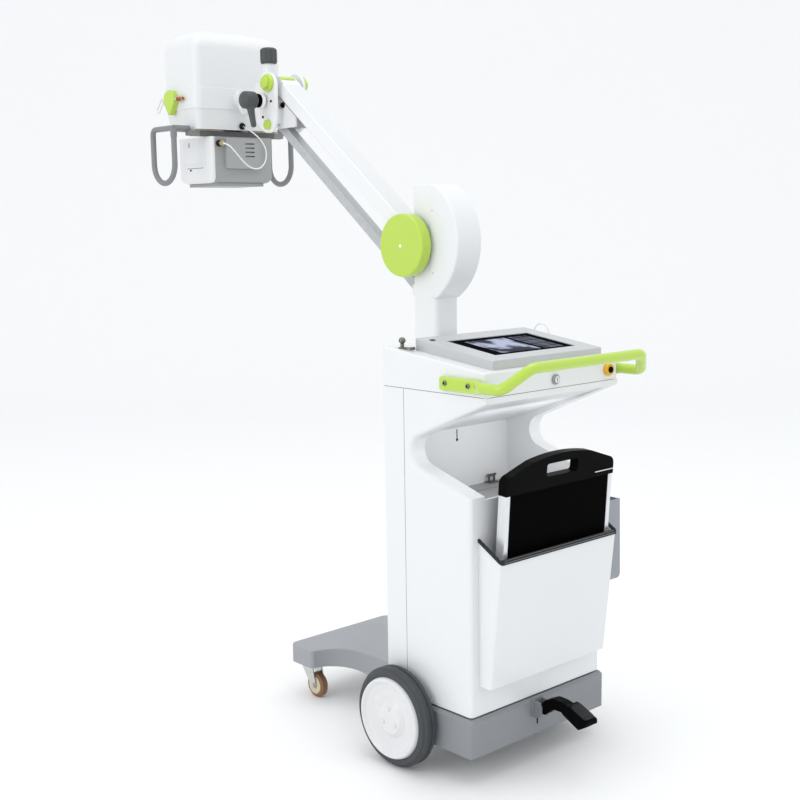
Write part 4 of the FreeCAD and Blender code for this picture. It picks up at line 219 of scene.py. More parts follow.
def build_cast_pits():
    """Open grain of a painted casting: shallow pits with darker bottoms."""
    tree, given, result = start_group("cast_pits", [
        ("Colour", COLOUR, (0.3, 0.3, 0.3, 1)), ("Pit Colour", COLOUR, (0.2, 0.2, 0.2, 1)),
        ("Pit Size", NUMBER, 420.0), ("Place", VECTOR, (0, 0, 0)),
    ], [("Colour", COLOUR), ("Height", NUMBER)])
    pits = tree.nodes.new("ShaderNodeTexVoronoi")
    pits.inputs["Randomness"].default_value = 1.0
    tree.links.new(given.outputs["Place"], pits.inputs["Vector"])
    tree.links.new(given.outputs["Pit Size"], pits.inputs["Scale"])
    depth = add_range(tree, pits.outputs["Distance"], 0.05, 0.55, 0.0, 1.0)
    dark = add_math(tree, "MULTIPLY", add_math(tree, "SUBTRACT", 1.0, depth), 0.35)
    tree.links.new(add_mix(tree, dark, given.outputs["Colour"], given.outputs["Pit Colour"]),
                   result.inputs["Colour"])
    tree.links.new(depth, result.inputs["Height"])
    return tree


MOULDED_SKIN = build_moulded_skin()
BRUSHED_LINES = build_brushed_lines()
CAST_PITS = build_cast_pits()


COAT_ROUGHNESS = 0.1


def start_finish(name, metallic=0.0, coat=0.0):
    material = bpy.data.materials.new(name)
    material.use_nodes = True
    tree = material.node_tree
    shader = next(node for node in tree.nodes if node.type == "BSDF_PRINCIPLED")
    shader.inputs["Metallic"].default_value = metallic
    shader.inputs["Coat Weight"].default_value = coat
    shader.inputs["Coat Roughness"].default_value = COAT_ROUGHNESS
    return material, tree, shader


def add_effect(tree, group, values):
    effect = tree.nodes.new("ShaderNodeGroup")
    effect.node_tree = group
    for label, value in values.items():
        effect.inputs[label].default_value = value
    place = tree.nodes.new("ShaderNodeTexCoord")
    tree.links.new(place.outputs["Object"], effect.inputs["Place"])
    return effect


# Depth of the bumps in each kind of finish, in metres
SKIN_DEPTH, LINE_DEPTH, PIT_DEPTH, ZONED_DEPTH = 0.0006, 0.0004, 0.0005, 0.0005


def join_bump(tree, shader, height, strength, depth):
    bump = tree.nodes.new("ShaderNodeBump")
    bump.inputs["Strength"].default_value = strength
    bump.inputs["Distance"].default_value = depth
    tree.links.new(height, bump.inputs["Height"])
    tree.links.new(bump.outputs[0], shader.inputs["Normal"])


def moulded(name, colour, shade, roughness, grain, bump, uneven, dust, coat=0.0, specular=0.5):
    """Moulded or painted skin."""
    material, tree, shader = start_finish(name, coat=coat)
    shader.inputs["Specular IOR Level"].default_value = specular
    skin = add_effect(tree, MOULDED_SKIN, {
        "Colour": (*colour, 1), "Shade Colour": (*shade, 1), "Unevenness": uneven, "Floor Dust": dust,
        "Grain Size": grain, "Roughness": roughness, "Gloss Spread": 0.12})
    tree.links.new(skin.outputs["Colour"], shader.inputs["Base Color"])
    tree.links.new(skin.outputs["Roughness"], shader.inputs["Roughness"])
    join_bump(tree, shader, skin.outputs["Height"], bump, SKIN_DEPTH)
    return material


def brushed(name, colour, line, stretch, roughness, contrast, bump, metallic=1.0):
    """Metal with drawn or brushed lines."""
    material, tree, shader = start_finish(name, metallic)
    lines = add_effect(tree, BRUSHED_LINES, {
        "Colour": (*colour, 1), "Line Colour": (*line, 1), "Stretch": stretch, "Contrast": contrast,
        "Roughness": roughness})
    tree.links.new(lines.outputs["Colour"], shader.inputs["Base Color"])
    tree.links.new(lines.outputs["Roughness"], shader.inputs["Roughness"])
    join_bump(tree, shader, lines.outputs["Height"], bump, LINE_DEPTH)
    return material


def casting(name, colour, pit, roughness):
    """Paint over a sand casting, with the moulded skin's dust on top of the pits."""
    material, tree, shader = start_finish(name)
    pits = add_effect(tree, CAST_PITS, {"Colour": (*colour, 1), "Pit Colour": (*pit, 1)})
    skin = add_effect(tree, MOULDED_SKIN, {
        "Shade Colour": (*pit, 1), "Unevenness": 0.25, "Floor Dust": 0.35, "Grain Size": 260.0,
        "Roughness": roughness, "Gloss Spread": 0.2})
    tree.links.new(pits.outputs["Colour"], skin.inputs["Colour"])
    tree.links.new(skin.outputs["Colour"], shader.inputs["Base Color"])
    tree.links.new(skin.outputs["Roughness"], shader.inputs["Roughness"])
    join_bump(tree, shader, pits.outputs["Height"], 0.18, PIT_DEPTH)
    return material


def inside(tree, place, low, high, soft):
    """Mask that is 1 inside a box given by two corners in the machine's frame, and 0 outside."""
    masks = []
    for axis in range(3):
        rise = add_range(tree, place.outputs[axis], low[axis], low[axis] + soft, 0.0, 1.0)
        fall = add_range(tree, place.outputs[axis], high[axis] - soft, high[axis], 1.0, 0.0)
        masks.append(add_math(tree, "MULTIPLY", rise, fall))
    return add_math(tree, "MULTIPLY", add_math(tree, "MULTIPLY", masks[0], masks[1]), masks[2])


# Width of the soft edge of a zone, in metres
ZONE_EDGE = 0.0008


def zoned(name, colour, zones, roughness):
    """Moulded skin whose colour changes inside boxes of the machine's frame, given in its millimetres."""
    material, tree, shader = start_finish(name)
    shader.inputs["Specular IOR Level"].default_value = 0.4
    coordinate = tree.nodes.new("ShaderNodeTexCoord")
    place = tree.nodes.new("ShaderNodeSeparateXYZ")
    tree.links.new(coordinate.outputs["Object"], place.inputs[0])
    skin = add_effect(tree, MOULDED_SKIN, {
        "Shade Colour": (0.4, 0.4, 0.4, 1), "Unevenness": 0.08, "Floor Dust": 0.0, "Grain Size": 900.0,
        "Roughness": roughness, "Gloss Spread": 0.12})
    shown = (*colour, 1)
    for low, high, other in zones:
        shown = add_mix(tree, inside(tree, place, at(*low), at(*high), ZONE_EDGE), shown, (*other, 1))
    tree.links.new(shown, skin.inputs["Colour"])
    tree.links.new(skin.outputs["Colour"], shader.inputs["Base Color"])
    tree.links.new(skin.outputs["Roughness"], shader.inputs["Roughness"])
    join_bump(tree, shader, skin.outputs["Height"], 0.12, ZONED_DEPTH)
    return material


# A finish gives its colour and the shade that its unevenness brings in, then roughness, grain size, depth of
# the grain, unevenness and dust. A brushed one gives its line colour, the lines' stretch, roughness,
# contrast, depth and, unless it is bare metal, how metallic it is.
WHITE = (0.775, 0.785, 0.795)
WHITE_SHADE = (0.69, 0.70, 0.72)
LIME = (0.47, 0.65, 0.078)
LIME_SHADE = (0.41, 0.59, 0.055)

cabinet_white = moulded("cabinet_white", WHITE, WHITE_SHADE, 0.34, 700.0, 0.10, 0.12, 0.25, coat=0.1)
head_white = moulded("head_white", (0.74, 0.745, 0.75),
                     (0.67, 0.675, 0.68), 0.38, 800.0, 0.10, 0.12, 0.0)
column_white = moulded("column_white", (0.79, 0.795, 0.80),
                       WHITE_SHADE, 0.30, 1300.0, 0.14, 0.10, 0.1, coat=0.15)
arm_grey = moulded("arm_grey", (0.70, 0.705, 0.71), (0.62, 0.625, 0.63), 0.34, 1100.0, 0.12, 0.12, 0.0)
link_grey = brushed("link_grey", (0.50, 0.515, 0.53),
                    (0.39, 0.405, 0.42), (700, 60, 60), 0.34, 0.5, 0.08, 0.35)
lime_cover = moulded("lime_cover", LIME, LIME_SHADE, 0.34, 600.0, 0.16, 0.25, 0.0, coat=0.15)
lime_tube = moulded("lime_tube", (0.46, 0.65, 0.07),
                    (0.38, 0.57, 0.055), 0.20, 1400.0, 0.06, 0.2, 0.0, coat=0.4)
base_casting = casting("base_casting", (0.255, 0.265, 0.28), (0.19, 0.20, 0.21), 0.46)
platform_casting = casting("platform_casting", (0.33, 0.34, 0.36), (0.26, 0.27, 0.28), 0.42)
bezel_grey = brushed("bezel_grey", (0.56, 0.57, 0.58),
                     (0.47, 0.48, 0.49), (30, 900, 900), 0.36, 0.45, 0.06, 0.3)
clamp_grey = moulded("clamp_grey", (0.30, 0.31, 0.32), (0.22, 0.23, 0.24), 0.42, 500.0, 0.2, 0.25, 0.0)
tray_grey = moulded("tray_grey", (0.30, 0.305, 0.315), (0.24, 0.245, 0.255), 0.45, 420.0, 0.25, 0.2, 0.0)
pocket_grey = moulded("pocket_grey", (0.30, 0.315, 0.34), (0.24, 0.25, 0.27), 0.44, 480.0, 0.2, 0.2, 0.0)
lever_grey = moulded("lever_grey", (0.072, 0.076, 0.078),
                     (0.05, 0.054, 0.056), 0.44, 420.0, 0.3, 0.3, 0.0, specular=0.3)
black_plastic = moulded("black_plastic", (0.002, 0.002, 0.0022),
                        (0.005, 0.005, 0.0055), 0.42, 520.0, 0.25, 0.3, 0.0, specular=0.03)
panel_black = moulded("panel_black", (0.0012, 0.0012, 0.0014),
                      (0.003, 0.003, 0.0035), 0.6, 900.0, 0.15, 0.3, 0.0, specular=0.012)
trim_rubber = moulded("trim_rubber", (0.022, 0.023, 0.025),
                      (0.04, 0.041, 0.043), 0.62, 380.0, 0.4, 0.35, 0.0, specular=0.2)
trim_line = moulded("trim_line", (0.16, 0.165, 0.17), (0.12, 0.125, 0.13), 0.5, 500.0, 0.2, 0.2, 0.0)
tyre_grey = moulded("tyre_grey", (0.062, 0.067, 0.072),
                    (0.075, 0.078, 0.082), 0.55, 330.0, 0.35, 0.3, 0.3, specular=0.25)
bright_white = moulded("bright_white", (0.90, 0.90, 0.90), (0.84, 0.84, 0.84), 0.3, 900.0, 0.1, 0.1, 0.0)
hub_white = moulded("hub_white", (0.74, 0.74, 0.745),
                    (0.62, 0.62, 0.63), 0.30, 600.0, 0.12, 0.15, 0.3, coat=0.2)
tread_brown = moulded("tread_brown", (0.20, 0.085, 0.028),
                      (0.28, 0.16, 0.08), 0.45, 420.0, 0.3, 0.4, 0.4)
rim_cream = moulded("rim_cream", (0.66, 0.58, 0.42), (0.52, 0.45, 0.32), 0.45, 500.0, 0.2, 0.3, 0.2)
socket_black = moulded("socket_black", (0.006, 0.006, 0.007),
                       (0.014, 0.014, 0.015), 0.5, 700.0, 0.25, 0.3, 0.0, specular=0.2)
stop_yellow = moulded("stop_yellow", (0.80, 0.42, 0.015),
                      (0.66, 0.32, 0.01), 0.30, 700.0, 0.1, 0.25, 0.0, coat=0.3)
button_red = moulded("button_red", (0.33, 0.012, 0.018),
                     (0.22, 0.008, 0.012), 0.28, 700.0, 0.1, 0.3, 0.0, coat=0.3)
cable_sheath = moulded("cable_sheath", (0.84, 0.84, 0.84),
                       (0.72, 0.72, 0.72), 0.38, 900.0, 0.12, 0.2, 0.0)
yoke_white = moulded("yoke_white", (0.76, 0.765, 0.77),
                     (0.66, 0.665, 0.67), 0.32, 900.0, 0.14, 0.12, 0.0)
dark_metal = brushed("dark_metal", (0.21, 0.205, 0.19),
                     (0.10, 0.10, 0.09), (400, 400, 60), 0.26, 0.5, 0.12)
zinc = brushed("zinc", (0.62, 0.62, 0.60), (0.45, 0.45, 0.43), (500, 500, 60), 0.30, 0.5, 0.12)
bright_steel = brushed("bright_steel", (0.78, 0.78, 0.79),
                       (0.62, 0.62, 0.63), (700, 700, 90), 0.14, 0.3, 0.05)
anodised = brushed("anodised", (0.80, 0.81, 0.83),
                   (0.66, 0.67, 0.69), (900, 900, 9), 0.30, 0.6, 0.10, 0.75)
brass = brushed("brass", (0.62, 0.52, 0.30), (0.45, 0.36, 0.18), (500, 60, 500), 0.30, 0.5, 0.1)
yellow_zinc = brushed("yellow_zinc", (0.66, 0.62, 0.42),
                      (0.50, 0.46, 0.28), (60, 500, 500), 0.34, 0.5, 0.1)
generator_grey = moulded("generator_grey", (0.30, 0.31, 0.33),
                         (0.22, 0.23, 0.25), 0.5, 300.0, 0.3, 0.3, 0.0)

GREY_COVER = (0.335, 0.345, 0.338)
NEAR_BLACK = (0.010, 0.010, 0.011)
collimator_two_tone = zoned("collimator_two_tone", (0.77, 0.77, 0.765), [
    ((-110, 960, 1594), (130, 1000, 1752), GREY_COVER),
    ((-200, 900, 1580), (200, 1300, 1597), (0.33, 0.335, 0.34)),
], 0.40)
vent_grey = zoned("vent_grey", (0.37, 0.38, 0.375), [
    ((-105, 930, 1600), (-101.6, 990, 1748), (0.66, 0.665, 0.67)),
    ((-115, 953, 1700), (-76, 972.5, 1748), NEAR_BLACK),
    ((-115, 940, 1700), (-76, 953, 1748), (0.42, 0.36, 0.22)),
], 0.42)
loop_grey = zoned("loop_grey", (0.205, 0.21, 0.215), [
    ((-150, 985, 1740), (150, 1012, 1790), (0.10, 0.10, 0.098)),
], 0.42)


SCREEN_REAR, SCREEN_FRONT = -298.0, -160.0
SCREEN_LOW, SCREEN_HIGH = 1000.0, 1200.0


def build_screen_glass():
    """Dark display: a plain grey scan field at the left and a column of plain thumbnails at the right."""
    material, tree, shader = start_finish("screen_glass")
    shader.inputs["Specular IOR Level"].default_value = 0.0
    coordinate = tree.nodes.new("ShaderNodeTexCoord")
    place = tree.nodes.new("ShaderNodeSeparateXYZ")
    tree.links.new(coordinate.outputs["Object"], place.inputs[0])
    field = inside(tree, place, at(-112, SCREEN_REAR, SCREEN_LOW), at(42, SCREEN_FRONT, SCREEN_HIGH), 0.002)
    soft = add_noise(tree, 3.0, 0.5)
    soft.inputs["Scale"].default_value = 17.0
    tree.links.new(coordinate.outputs["Object"], soft.inputs["Vector"])
    tone = add_range(tree, soft.outputs[0], 0.42, 0.60, 0.10, 1.0)
    lit = add_math(tree, "MULTIPLY", tone, field)
    grey = add_mix(tree, lit, (0.004, 0.004, 0.006, 1), (0.36, 0.39, 0.50, 1))
    tiles = inside(tree, place, at(56, SCREEN_REAR, SCREEN_LOW), at(130, SCREEN_FRONT, SCREEN_HIGH), 0.001)
    grid = tree.nodes.new("ShaderNodeTexBrick")
    grid.offset = 0.0
    tile_sizes = (("Scale", 1.0), ("Mortar Size", 0.002), ("Brick Width", 0.037), ("Row Height", 0.034))
    for label, value in tile_sizes:
        grid.inputs[label].default_value = value
    grid.inputs["Color1"].default_value = (0.05, 0.055, 0.065, 1)
    grid.inputs["Color2"].default_value = (0.11, 0.12, 0.15, 1)
    grid.inputs["Mortar"].default_value = (0.008, 0.008, 0.01, 1)
    tree.links.new(coordinate.outputs["Object"], grid.inputs["Vector"])
    shown = add_mix(tree, tiles, grey, grid.outputs["Color"])
    tree.links.new(shown, shader.inputs["Base Color"])
    tree.links.new(shown, shader.inputs["Emission Color"])
    shader.inputs["Emission Strength"].default_value = 0.2
    shader.inputs["Roughness"].default_value = 0.12
    return material


screen_glass = build_screen_glass()

FINISHES = {
    cabinet_white: ("front_shell", "rear_shell", "console_shell", "detector_bin", "balance_housing"),
    column_white: ("column_tube", "arm_tube", "arm_fork", "bracket_plates", "head_yoke", "tilt_block"),
    head_white: ("head_housing", "head_cover", "collimator_panel"),
    arm_grey: ("arm_cover", "bracket_channel"),
    link_grey: ("lower_link",),
    lime_cover: ("disc_covers", "pivot_covers", "tape_measure"),
    lime_tube: ("push_handle",),
    base_casting: ("rear_base",),
    platform_casting: ("front_platform",),
    bezel_grey: ("screen_bezel",),
    screen_glass: ("touch_screen",),
    clamp_grey: ("key_ring", "tube_insert"),
    vent_grey: ("vent_box",),
    tray_grey: ("storage_tray",),
    pocket_grey: ("side_pocket",),
    lever_grey: ("tilt_lever", "swivel_knob"),
    black_plastic: ("stop_button", "brake_pedal", "carrier_cap", "turntable", "battery_pack"),
    panel_black: ("detector_panel",),
    trim_rubber: ("bin_trim",),
    tyre_grey: ("rear_tyre_right", "rear_tyre_left"),
    hub_white: ("rear_wheel_right", "rear_wheel_left"),
    tread_brown: ("caster_wheel_left", "caster_wheel_right"),
    stop_yellow: ("stop_ring",),
    cable_sheath: ("cable_hoop", "collimator_cable"),
    loop_grey: ("handle_frame",),
    zinc: ("rear_axle", "caster_fork_left", "caster_fork_right", "balance_spring"),
    bright_steel: ("key_rotor", "tape_ring"),
    dark_metal: ("park_stud", "tray_clasp"),
    anodised: ("carrier_frame",),
    collimator_two_tone: ("collimator_body",),
    generator_grey: ("generator",),
}
for finish, names in FINISHES.items():
    for name in names:
        node = frame["nodes"][name]
        if not node.material_slots:
            node.data.materials.append(finish)
        for material_slot in node.material_slots:
            material_slot.material = finish


# Small pieces on the castings and covers

SHARP_ANGLE = math.radians(32)


def add_piece(name, shape, finish, neighbour):
    """Finished mesh that moves with the body of the neighbouring CAD node."""
    mesh = bpy.data.meshes.new(name)
    bmesh.ops.recalc_face_normals(shape, faces=shape.faces[:])
    shape.to_mesh(mesh)
    shape.free()
    for polygon in mesh.polygons:
        polygon.use_smooth = True
    mesh.materials.append(finish)
    piece = bpy.data.objects.new(name, mesh)
    bpy.context.collection.objects.link(piece)
    corners = piece.modifiers.new("sharp_corners", "EDGE_SPLIT")
    corners.split_angle = SHARP_ANGLE
    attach(piece, body_of(frame["nodes"][neighbour])[0])
    return piece


def facing(centre, normal):
    """Placement whose own Z axis points along the normal."""
    turn = Vector((0, 0, 1)).rotation_difference(Vector(normal).normalized()).to_matrix().to_4x4()
    return Matrix.Translation(centre) @ turn


def turned(profile, segments):
    """Solid of revolution about its own Z axis, from (radius, height) pairs in millimetres."""
    shape = bmesh.new()
    points = [shape.verts.new((radius * MM, 0, height * MM)) for radius, height in profile]
    edges = [shape.edges.new(pair) for pair in zip(points, points[1:])]
    bmesh.ops.spin(shape, geom=points + edges, cent=(0, 0, 0), axis=(0, 0, 1), angle=math.tau,
                   steps=segments, use_merge=True)
    bmesh.ops.remove_doubles(shape, verts=shape.verts[:], dist=0.00001)
    return shape


def turned_piece(name, profile, centre, normal, finish, neighbour, segments=40):
    shape = turned(profile, segments)
    shape.transform(facing(centre, normal))
    return add_piece(name, shape, finish, neighbour)


def socket_screw(name, centre, normal, radius, neighbour, finish):
    """Domed screw with a hexagon socket."""
    shape = turned([(radius, -0.3), (radius, 0.35 * radius), (0.86 * radius, 0.55 * radius),
                    (0.56 * radius, 0.66 * radius), (0.5 * radius, 0.64 * radius),
                    (0.46 * radius, 0.12 * radius), (0, 0.05 * radius)], 36)
    for point in shape.verts:
        reach = point.co.xy.length / MM
        if 0.3 * radius < reach < 0.52 * radius:
            turn = math.atan2(point.co.y, point.co.x)
            off = (turn % (math.pi / 3)) - math.pi / 6
            flat = 0.45 * radius / max(math.cos(off), 0.5)
            point.co.xy *= flat / reach
    shape.transform(facing(centre, normal))
    return add_piece(name, shape, finish, neighbour)


CORNER_STEPS = 6


def rounded_plate(length, width, thickness, corner):
    """Flat plate with rounded corners and a broken edge, drawn in its own XY plane, in millimetres."""
    shape = bmesh.new()
    outline = []
    for quarter, (sx, sy) in enumerate(((1, 1), (-1, 1), (-1, -1), (1, -1))):
        cx, cy = sx * (length / 2 - corner), sy * (width / 2 - corner)
        for step in range(CORNER_STEPS + 1):
            turn = math.pi / 2 * (quarter + step / CORNER_STEPS)
            outline.append((cx + corner * math.cos(turn), cy + corner * math.sin(turn)))
    face = shape.faces.new([shape.verts.new((x * MM, y * MM, 0)) for x, y in outline])
    raised = bmesh.ops.extrude_face_region(shape, geom=[face])["geom"]
    top = [item for item in raised if isinstance(item, bmesh.types.BMVert)]
    bmesh.ops.translate(shape, verts=top, vec=(0, 0, thickness * MM))
    rim = [edge for edge in shape.edges if all(v in top for v in edge.verts)]
    bmesh.ops.bevel(shape, geom=rim, offset=min(0.3 * thickness, 0.3 * corner) * MM, segments=2,
                    affect="EDGES", profile=0.5)
    return shape


def plate_piece(name, size, centre, normal, along, finish, neighbour):
    """Rounded plate set on a surface, with its length along one direction."""
    shape = rounded_plate(*size)
    up = Vector(normal).normalized()
    side = (Vector(along) - Vector(along).dot(up) * up).normalized()
    shape.transform(Matrix.Translation(centre) @ Matrix((side, up.cross(side), up)).transposed().to_4x4())
    return add_piece(name, shape, finish, neighbour)


LEFT, RIGHT, REAR, FRONT, UP = (-1, 0, 0), (1, 0, 0), (0, -1, 0), (0, 1, 0), (0, 0, 1)
# How far outside a piece the search for its surface starts, in metres
PROBE = 0.06


def on_surface(node, place, outward):
    """Point of a node's surface that lies behind this place, seen against the outward direction."""
    away = Vector(outward).normalized()
    found, point = frame["nodes"][node].ray_cast(place + PROBE * away, -away)[:2]
    if not found:
        raise ValueError("nothing of %s lies at %s" % (node, tuple(place)))
    return point


# Slack cable between the collimator's socket and the head's grommet

CABLE_DIAMETER = 4.4
CABLE_START = (-94.0, 944.0, 1723.0)
CABLE_END = (7.0, 975.4, 1781.0)
SOCKET_PLACE = (-94.0, 971.2, 1723.0)
GROMMET_PLACE = (7.0, 976.6, 1781.0)
CABLE_ROUTE = [
    (-82.8, 928, 1716.1), (-72.6, 921, 1702.6), (-54.4, 920, 1683.9), (-32.9, 922, 1663.7),
    (-9.4, 926, 1648.9), (16.9, 930, 1640.7), (44.3, 934, 1643.5), (66.4, 938, 1661.4),
    (76.9, 942, 1686.3), (76.2, 946, 1710.9), (66.3, 951, 1732.1), (50.9, 957, 1749.9),
    (33.7, 962, 1763.4), (18.5, 968, 1773.6),
]


def build_cable():
    data = bpy.data.curves.new("collimator_lead", "CURVE")
    data.dimensions = "3D"
    data.bevel_depth = CABLE_DIAMETER / 2 * MM
    data.bevel_resolution = 6
    data.resolution_u = 10
    data.use_fill_caps = True
    line = data.splines.new("NURBS")
    route = [CABLE_START] + CABLE_ROUTE + [CABLE_END]
    line.points.add(len(route) - 1)
    for point, place in zip(line.points, route):
        point.co = (*at(*place), 1)
    line.order_u = 3
    line.use_endpoint_u = True
    data.materials.append(cable_sheath)
    lead = bpy.data.objects.new("collimator_lead", data)
    bpy.context.collection.objects.link(lead)
    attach(lead, body_of(frame["nodes"]["collimator_cable"])[0])
    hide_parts("collimator_cable")


build_cable()
turned_piece("lead_socket", [(10.6, 0), (10.8, 11), (9.4, 13), (9.2, 16.5), (7.6, 17)],
             at(*SOCKET_PLACE), REAR, socket_black, "collimator_body")
turned_piece("lead_nut",
             [(8.0, 16.6), (9.9, 17), (9.9, 23), (9.0, 24.2), (5.4, 24.6), (4.8, 27.4), (2.5, 28.0)],
             at(*SOCKET_PLACE), REAR, brass, "collimator_body", 6)
turned_piece("head_grommet", [(11.2, -2.4), (11.2, 1.0), (9.4, 2.2), (9.0, 5.2), (4.6, 5.6), (2.5, 5.6)],
             at(*GROMMET_PLACE), REAR, socket_black, "head_housing")


# Screws

SCREW_PLACES = [
    ("handle_screw_1", (-267, -252, 1060), LEFT, 6.5, "push_handle"),
    ("handle_screw_2", (-267, -333, 1059), LEFT, 6.5, "push_handle"),
    ("handle_screw_3", (267, -252, 1060), RIGHT, 6.5, "push_handle"),
    ("handle_screw_4", (267, -333, 1059), RIGHT, 6.5, "push_handle"),
    ("housing_screw_1", (-47, 23.2, 1492.6), LEFT, 3.0, "balance_housing"),
    ("housing_screw_2", (-47, 21.8, 1320.7), LEFT, 3.0, "balance_housing"),
    ("housing_screw_3", (47, 23.2, 1492.6), RIGHT, 3.0, "balance_housing"),
    ("housing_screw_4", (47, 21.8, 1320.7), RIGHT, 3.0, "balance_housing"),
    ("plate_screw_1", (-68, 725.4, 1838.8), LEFT, 4.0, "bracket_plates"),
    ("plate_screw_2", (-68, 769.7, 1793.3), LEFT, 4.0, "bracket_plates"),
    ("plate_screw_3", (68, 725.4, 1838.8), RIGHT, 4.0, "bracket_plates"),
    ("plate_screw_4", (68, 769.7, 1793.3), RIGHT, 4.0, "bracket_plates"),
]
SCREW_FINISH = {"bracket_plates": black_plastic, "balance_housing": hub_white}
for name, centre, normal, radius, neighbour in SCREW_PLACES:
    seat = on_surface(neighbour, at(*centre), normal)
    socket_screw(name, seat, normal, radius, neighbour, SCREW_FINISH.get(neighbour, dark_metal))

# Centre caps of the disc covers, and the channel's knob
for side, normal in ((-1, LEFT), (1, RIGHT)):
    turned_piece("disc_centre_%s" % ("left" if side < 0 else "right"),
                 [(5.4, -0.4), (5.4, 0.8), (4.4, 1.8), (0, 2.4)],
                 on_surface("disc_covers", at(side * 91, 107.2, 1395.4), normal), normal, bright_white,
                 "disc_covers")
turned_piece("channel_knob", [(9.0, -0.5), (9.0, 1.6), (7.6, 3.0), (7.2, 6.2), (5.8, 7.4), (0, 8.0)],
             on_surface("bracket_channel", at(-50, 701, 1826), LEFT), LEFT, black_plastic,
             "bracket_channel", 28)

# Tilt clamp: a dark hub with a short stem that hangs down and leans back, on a white collar with a dark ring
LEVER_Y, LEVER_Z = 763.0, 1842.0


def build_tilt_lever():
    collar = turned_piece("lever_collar", [(14, 0), (23, 0.6), (23, 10), (21.5, 11.6), (14, 11.6)],
                          at(-68.3, LEVER_Y, LEVER_Z), LEFT, bright_white, "tilt_lever")
    turned_piece("lever_ring", [(14, 0), (21, 0.5), (21.4, 4), (21, 8), (14, 8.6)],
                 at(-80.2, LEVER_Y, LEVER_Z), LEFT, black_plastic, "tilt_lever")
    turned_piece("lever_neck", [(14, 0), (13.4, 4), (14, 12)],
                 at(-86, LEVER_Y, LEVER_Z), LEFT, lever_grey, "tilt_lever")
    turned_piece("lever_hub", [(13, 0), (22, 1.0), (25.6, 3.6), (26.9, 8), (27, 36), (26, 41), (22.6, 45),
                               (16, 47.4), (0, 48)],
                 at(-95, LEVER_Y, LEVER_Z), LEFT, lever_grey, "tilt_lever")
    top, tip = at(-119, LEVER_Y - 8, LEVER_Z - 18), at(-119, LEVER_Y - 25, LEVER_Z - 84)
    turned_piece("lever_stem",
                 [(13, 0), (12.6, 8), (10.4, 24), (9.2, 44), (8.8, 60), (7.6, 65), (4.6, 67.4), (0, 68.2)],
                 top, tip - top, lever_grey, "tilt_lever")
    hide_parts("tilt_lever")


build_tilt_lever()

# Head yoke: a narrow fork round the tilt block's barrel, with a neck to the head's rear flange
YOKE_Y = 812.0
YOKE_HALF = 15.0
YOKE_SIDE = [
    (806, 1908), (862, 1908), (870, 1900), (870, 1866), (932, 1866), (932, 1818), (870, 1818), (870, 1784),
    (862, 1776), (806, 1776), (806, 1799.6), (841, 1799.6), (841, 1884.4), (806, 1884.4),
]


def build_yoke():
    shape = bmesh.new()
    face = shape.faces.new([shape.verts.new(at(-YOKE_HALF, y, z)) for y, z in YOKE_SIDE])
    pulled = bmesh.ops.extrude_face_region(shape, geom=[face])["geom"]
    bmesh.ops.translate(shape, verts=[item for item in pulled if isinstance(item, bmesh.types.BMVert)],
                        vec=(2 * YOKE_HALF * MM, 0, 0))
    bmesh.ops.recalc_face_normals(shape, faces=shape.faces[:])
    bmesh.ops.bevel(shape, geom=shape.edges[:], offset=2.0 * MM, segments=2, affect="EDGES", profile=0.5)
    fork = add_piece("yoke_fork", shape, yoke_white, "head_yoke")
    for level, low in (("low", 1776), ("high", 1884.4)):
        turned_piece("yoke_eye_%s" % level, [(0, 0), (17, 0), (19, 2), (19, 21.6), (17, 23.6), (0, 23.6)],
                     at(0, YOKE_Y, low), UP, yoke_white, "head_yoke")
    turned_piece("yoke_collar", [(0, 0), (15, 0), (15, 21), (19, 25), (19, 55.5), (18, 56.8), (0, 56.8)],
                 at(0, YOKE_Y, 1907), UP, yoke_white, "head_yoke")
    turned_piece("yoke_flange", [(0, 0), (28, 0), (30, 2), (30, 13.9), (0, 13.9)],
                 at(0, 930, 1842), FRONT, yoke_white, "head_yoke")
    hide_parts("head_yoke")


build_yoke()

# Tape measure: red brake button in a steel collar, and the steel neck before the pull link
TAPE_X, TAPE_Z = -184.0, 1866.0
turned_piece("tape_button", [(6.35, 0), (6.35, 30), (6.0, 33), (5.0, 35), (0, 35.6)],
             at(TAPE_X, 1068, TAPE_Z), REAR, button_red, "tape_measure")
turned_piece("tape_collar", [(6.9, 0), (6.9, 4.5), (6.4, 5.2), (6.35, 7)],
             at(TAPE_X, 1073, TAPE_Z), REAR, bright_steel, "tape_measure")
turned_piece("tape_neck", [(4.0, 0), (4.0, 12), (4.6, 12.4), (4.6, 16), (3.4, 16.6), (0, 16.8)],
             at(TAPE_X, 1136, TAPE_Z), FRONT, bright_steel, "tape_measure")

# Collimator panel: a black plate of painted shade for the slot, a screw and the panel's lower line
PANEL_X = -122.2
plate_piece("panel_slot", (16, 3.2, 0.8, 1.4), at(PANEL_X, 1102, 1722), LEFT, UP, black_plastic,
            "collimator_panel")
plate_piece("panel_line", (96, 1.6, 0.5, 0.6), at(PANEL_X, 1069, 1646), LEFT, FRONT, trim_line,
            "collimator_panel")
socket_screw("panel_screw", at(PANEL_X + 0.2, 1096, 1640), LEFT, 3.4, "collimator_panel", black_plastic)

# Yellow plated rails between the head and the turntable
for side in (-1, 1):
    plate_piece("turntable_rail_%s" % ("left" if side < 0 else "right"), (118, 12, 3.0, 2.0),
                at(side * 112, 1004, 1764.4), UP, RIGHT, yellow_zinc, "head_housing")

# Console: eye sensor at the bezel's corner
plate_piece("bezel_sensor", (15, 11, 0.8, 1.5), at(-186, -118, 1154.0), (0, -0.141, 0.99), RIGHT,
            black_plastic, "screen_bezel")

